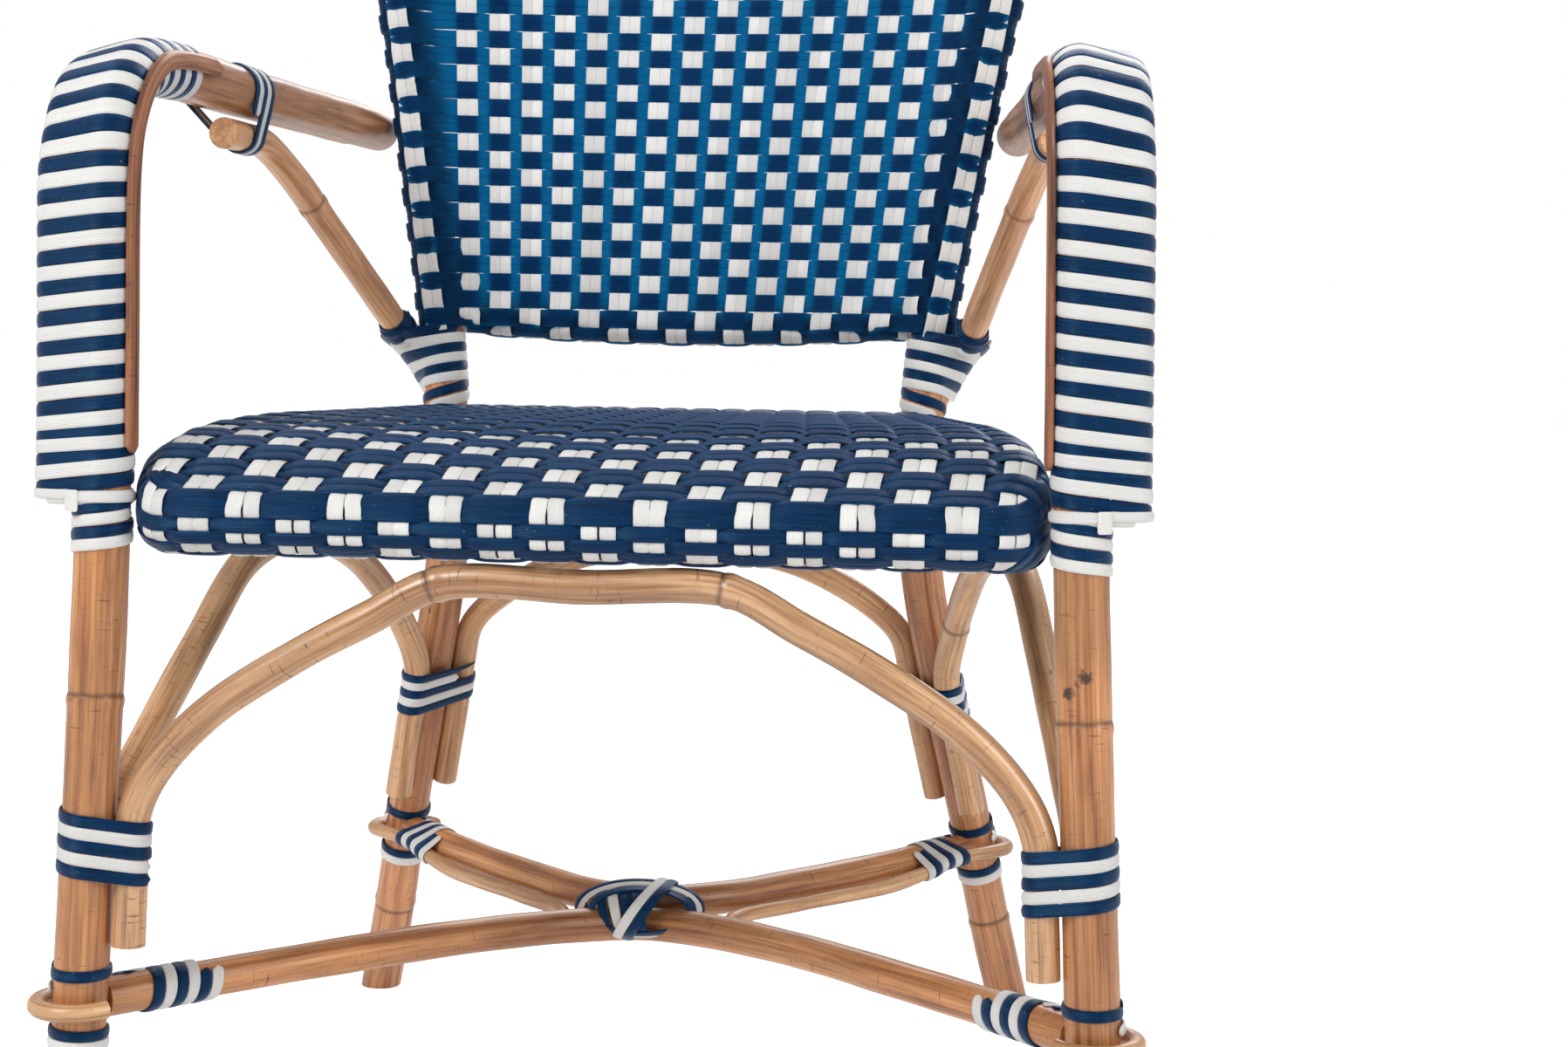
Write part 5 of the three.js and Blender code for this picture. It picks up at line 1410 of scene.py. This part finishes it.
def seat_column(k, shift):
    """Path of one strip of a column from under the front edge, over the top, to under the rear edge."""
    fine = np.arange(SEAT_FRONT - 1, TOP_FROM, 0.5)
    back = np.arange(TOP_TO, REAR_RIM_Y + SEAT_R + 1, 0.5)
    ys = np.concatenate([fine, np.arange(TOP_FROM, TOP_TO, 3.0), back])
    xs = seat_column_x(k, ys) + shift
    feet, out = rim_foot(xs, ys)
    inside = np.nonzero(out < WALL_START)[0]
    ys, xs, out, feet = (v[inside[0]:inside[-1] + 1] for v in (ys, xs, out, feet))
    top, top_n = top_surface(xs, ys)
    top = top - top_n * (1.5 * eased((ys - 40) / 45))[:, None]
    front, front_n, e = tail_down(feet[0])
    rear, rear_n, down = tail_down(feet[-1])
    turn = np.arccos(np.clip(out / SEAT_R, 0, 1))
    settled = eased((turn - math.radians(54)) / math.radians(11))

    def fallen(foot):
        """How far down the edge at one foot the places over the roll lie."""
        return np.interp(-turn, -UPPER_TURNS, roll_profile(foot)[2][0][:len(UPPER_TURNS)])
    ahead = np.where(ys > TOP_FROM, 1.0, settled)
    number = row_number(fallen(feet[:1])) * (1 - ahead) + top_row_number(ys) * ahead
    behind = np.where(ys > TOP_TO, settled, 1.0)
    number = (REAR_NUMBER - fallen(feet[-1:]) / SEAT_ROW) * (1 - behind) + number * behind
    return joined([
        (front[::-1], front_n[::-1], row_number(e)[::-1]), (top, top_n, number),
        (rear, rear_n, REAR_NUMBER - down / SEAT_ROW),
    ])


def seat_top_row(j):
    """Path of a row that crosses the top and drops over both sides."""
    y = row_y(j)
    xs = np.arange(0, SEAT_HALF + SEAT_R + 2, 0.5)
    feet, out = rim_foot(xs, 0 * xs + y)
    last = int(np.nonzero(out < WALL_START)[0][-1])
    xs = xs[:last + 1]
    tail, tail_n, _ = tail_down(feet[last], 13.0 * math.exp(-max(0.0, y) / 30))
    body, body_n = top_surface(xs, 0 * xs + y)
    points, normals = (
        np.vstack([(half * FLIP)[::-1], half[1:]])
        for half in (np.vstack([body, tail]), np.vstack([body_n, tail_n])))
    return points, normals, seat_column_number(points[:, 0], np.full(len(points), y))


def seat_edge_row(e, d, y):
    """Path of a row along the front or rear edge, at a distance down its roll, and round the corners."""
    points, normals, down = roll_profile(d)
    at, n = (np.stack([read_along(e, down[i], v[i]) for i in range(len(d))]) for v in (points, normals))
    return at, unit(n), seat_column_number(at[:, 0], np.full(len(at), y))


def add_seat():
    """Rows over the top, along the front and along the rear, and then the columns."""
    blue, pale = Batch(), Batch()
    rows = int(-top_row_number(REAR_RIM_Y)) + 1
    top = {"pinch": 0.2, "inset": TOP_INSET}
    for j in range(-1, -rows, -1):
        for side in (-1, 1):
            woven_strip(blue, seat_top_row(j), parity(j), 7.4, TOP_SWING, 1.5, side=side * 3.55, **top)
    reach = FRONT_C[0] + FRONT_RIM_R * math.radians(70)
    front = np.linspace(-reach, reach, 380)
    # The front rows' strips: distance down the roll and width
    for j, strips in enumerate((
        ((-7.0, 7.0), (-0.4, 7.0)), ((7.1, 8.9), (15.2, 9.0)), ((23.8, 8.3),), ((31.7, 7.8),),
        ((38.2, 5.6), (43.4, 5.6)), ((48.8, 5.6), (54.2, 5.6)),
    )):
        for e, width in strips:
            path = seat_edge_row(e, front, SEAT_FRONT)
            woven_strip(blue, path, parity(j), width, FRONT_SWING, 1.4, pinch=0.1, inset=FRONT_INSET)
    reach = REAR_C[0] + REAR_RIM_R * math.radians(60)
    right = np.linspace(RIM_D[-1] - reach, RIM_D[-1], 180)
    rear = np.concatenate([right, -right[::-1][1:]])
    for j in range(-rows, -rows - 5, -1):
        for side in (-1, 1):
            path = seat_edge_row((REAR_NUMBER - j) * SEAT_ROW + side * 3.4, rear, REAR_RIM_Y)
            woven_strip(blue, path, parity(j), 6.9, FRONT_SWING, 1.4, inset=FRONT_INSET)
    for k in range(SEAT_COLUMNS[0], SEAT_COLUMNS[1] + 1):
        for shift in (-4.55, 4.55):
            woven_strip(pale, seat_column(k, shift), -parity(k), 8.8, FRONT_SWING, 1.2, inset=FRONT_INSET)
    blue.build("seat_weave_navy_strips", navy, "woven_strip", ["seat_weave"])
    pale.build("seat_weave_white_strips", white, "woven_strip", ["seat_weave"])


add_seat()


def add_seat_rails():
    """The two poles inside the seat, drawn along the same lines as the weave's rim, in a dark colour that is
    painted shade.
    """
    radius = 15.6
    for name, z, shift in (
        ("seat_lower_rail", LOW_ROLL_Z, 0.0),
        ("seat_upper_rail", HIGH_ROLL_Z, FALL_DEPTH),
    ):
        line = np.vstack([RIM, (RIM * (-1, 1))[::-1][1:-1]])
        line[:, 1] = np.maximum(line[:, 1], SEAT_FRONT + SEAT_R + shift)
        keep = np.concatenate([[True], np.linalg.norm(np.diff(line, axis=0), axis=1) > 1.0])
        line = np.column_stack([line[keep], np.full(int(keep.sum()), z)])
        side = np.cross(unit(np.roll(line, -1, 0) - np.roll(line, 1, 0)), UP)
        angles = np.linspace(0, 2 * math.pi, 20, endpoint=False)
        rings = line[:, None] + around(side, np.broadcast_to(UP, side.shape), angles) * radius
        grain = np.zeros_like(rings)
        grain[..., 0] = (np.arange(len(line)) * 2.0 * MM)[:, None]
        grain[..., 1:] = np.stack([np.cos(angles), np.sin(angles)], -1) * radius * MM
        batch = Batch()
        batch.tube(rings[:, ::-1], grain[:, ::-1], 0.0, closed=True)
        batch.build(name + "_pole", rail_rattan_painted_shade, "pole_rattan", [name])


add_seat_rails()


# Stage, camera and light

def add_floor():
    """A white floor that glows a little to the camera alone, so that it and the sky look the same."""
    material, tree, shader, output = new_material("floor_white")
    feed(tree, shader, {"Base Color": (0.93, 0.93, 0.93, 1), "Roughness": 0.9, "Specular IOR Level": 0.1})
    seen = node(tree, "LightPath").outputs["Is Camera Ray"]
    glow = node(tree, "Emission", {"Color": (1, 1, 1, 1), "Strength": maths(tree, "MULTIPLY", seen, 0.55)})
    mix = node(tree, "AddShader", {0: shader.outputs[0], 1: glow.outputs[0]})
    tree.links.new(mix.outputs[0], output.inputs["Surface"])
    bpy.ops.mesh.primitive_plane_add(size=60, location=(0, 0, 0))
    floor = bpy.context.object
    floor.name = "studio_floor"
    floor.data.materials.append(material)


def add_world():
    world = bpy.data.worlds.new("studio")
    bpy.context.scene.world = world
    world.use_nodes = True
    tree = world.node_tree
    seen = node(tree, "LightPath").outputs["Is Camera Ray"]
    strength = mapped(tree, seen, 0.0, 1.0, 0.5, 1.0)
    feed(tree, tree.nodes["Background"], {"Color": (1, 1, 1, 1), "Strength": strength})


def aim(obj, right, up, back, place):
    """Puts an object in the scene, with its own axes along three ways."""
    bpy.context.scene.collection.objects.link(obj)
    rows = np.column_stack([right, up, back, place]).tolist()
    obj.matrix_world = Matrix(rows + [[0, 0, 0, 1]])


def add_light(name, place, target, size, power):
    data = bpy.data.lights.new(name, "AREA")
    data.shape = "RECTANGLE"
    data.size, data.size_y = size
    data.energy = power
    back = unit(np.array(place, float) - target)
    right = unit(np.cross(UP, back))
    aim(bpy.data.objects.new(name, data), right, np.cross(back, right), back, place)


def add_camera():
    """The photograph's camera: its turn, its focal length in pixels of a picture as wide, and its place."""
    yaw, pitch, roll = (math.radians(v) for v in (4.71, 4.56, 0.9))
    focal, picture_width = 2700, 1797
    forward = np.array([-math.sin(yaw) * math.cos(pitch), math.cos(yaw) * math.cos(pitch), -math.sin(pitch)])
    level = np.array([math.cos(yaw), math.sin(yaw), 0.0])
    right = math.cos(roll) * level + math.sin(roll) * np.cross(level, forward)
    data = bpy.data.cameras.new("camera")
    data.sensor_width = 36.0
    data.lens = data.sensor_width * focal / picture_width
    data.clip_end = 100
    camera = bpy.data.objects.new("camera", data)
    place = np.array([212.0, -1255.0 - FOOTPRINT_MIDDLE, 509.0]) * MM
    aim(camera, right, np.cross(right, forward), -forward, place)
    bpy.context.scene.camera = camera


add_floor()
add_world()
add_light("key", (-1.6, -2.2, 2.6), (0, 0, 0.4), (1.6, 1.6), 60)
add_light("fill", (2.4, -1.4, 1.5), (0, 0, 0.4), (1.0, 1.6), 20)
add_light("back", (0.4, 2.6, 2.2), (0, 0, 0.5), (2.2, 1.6), 44)
add_camera()
bpy.context.scene.view_settings.view_transform = "Standard"
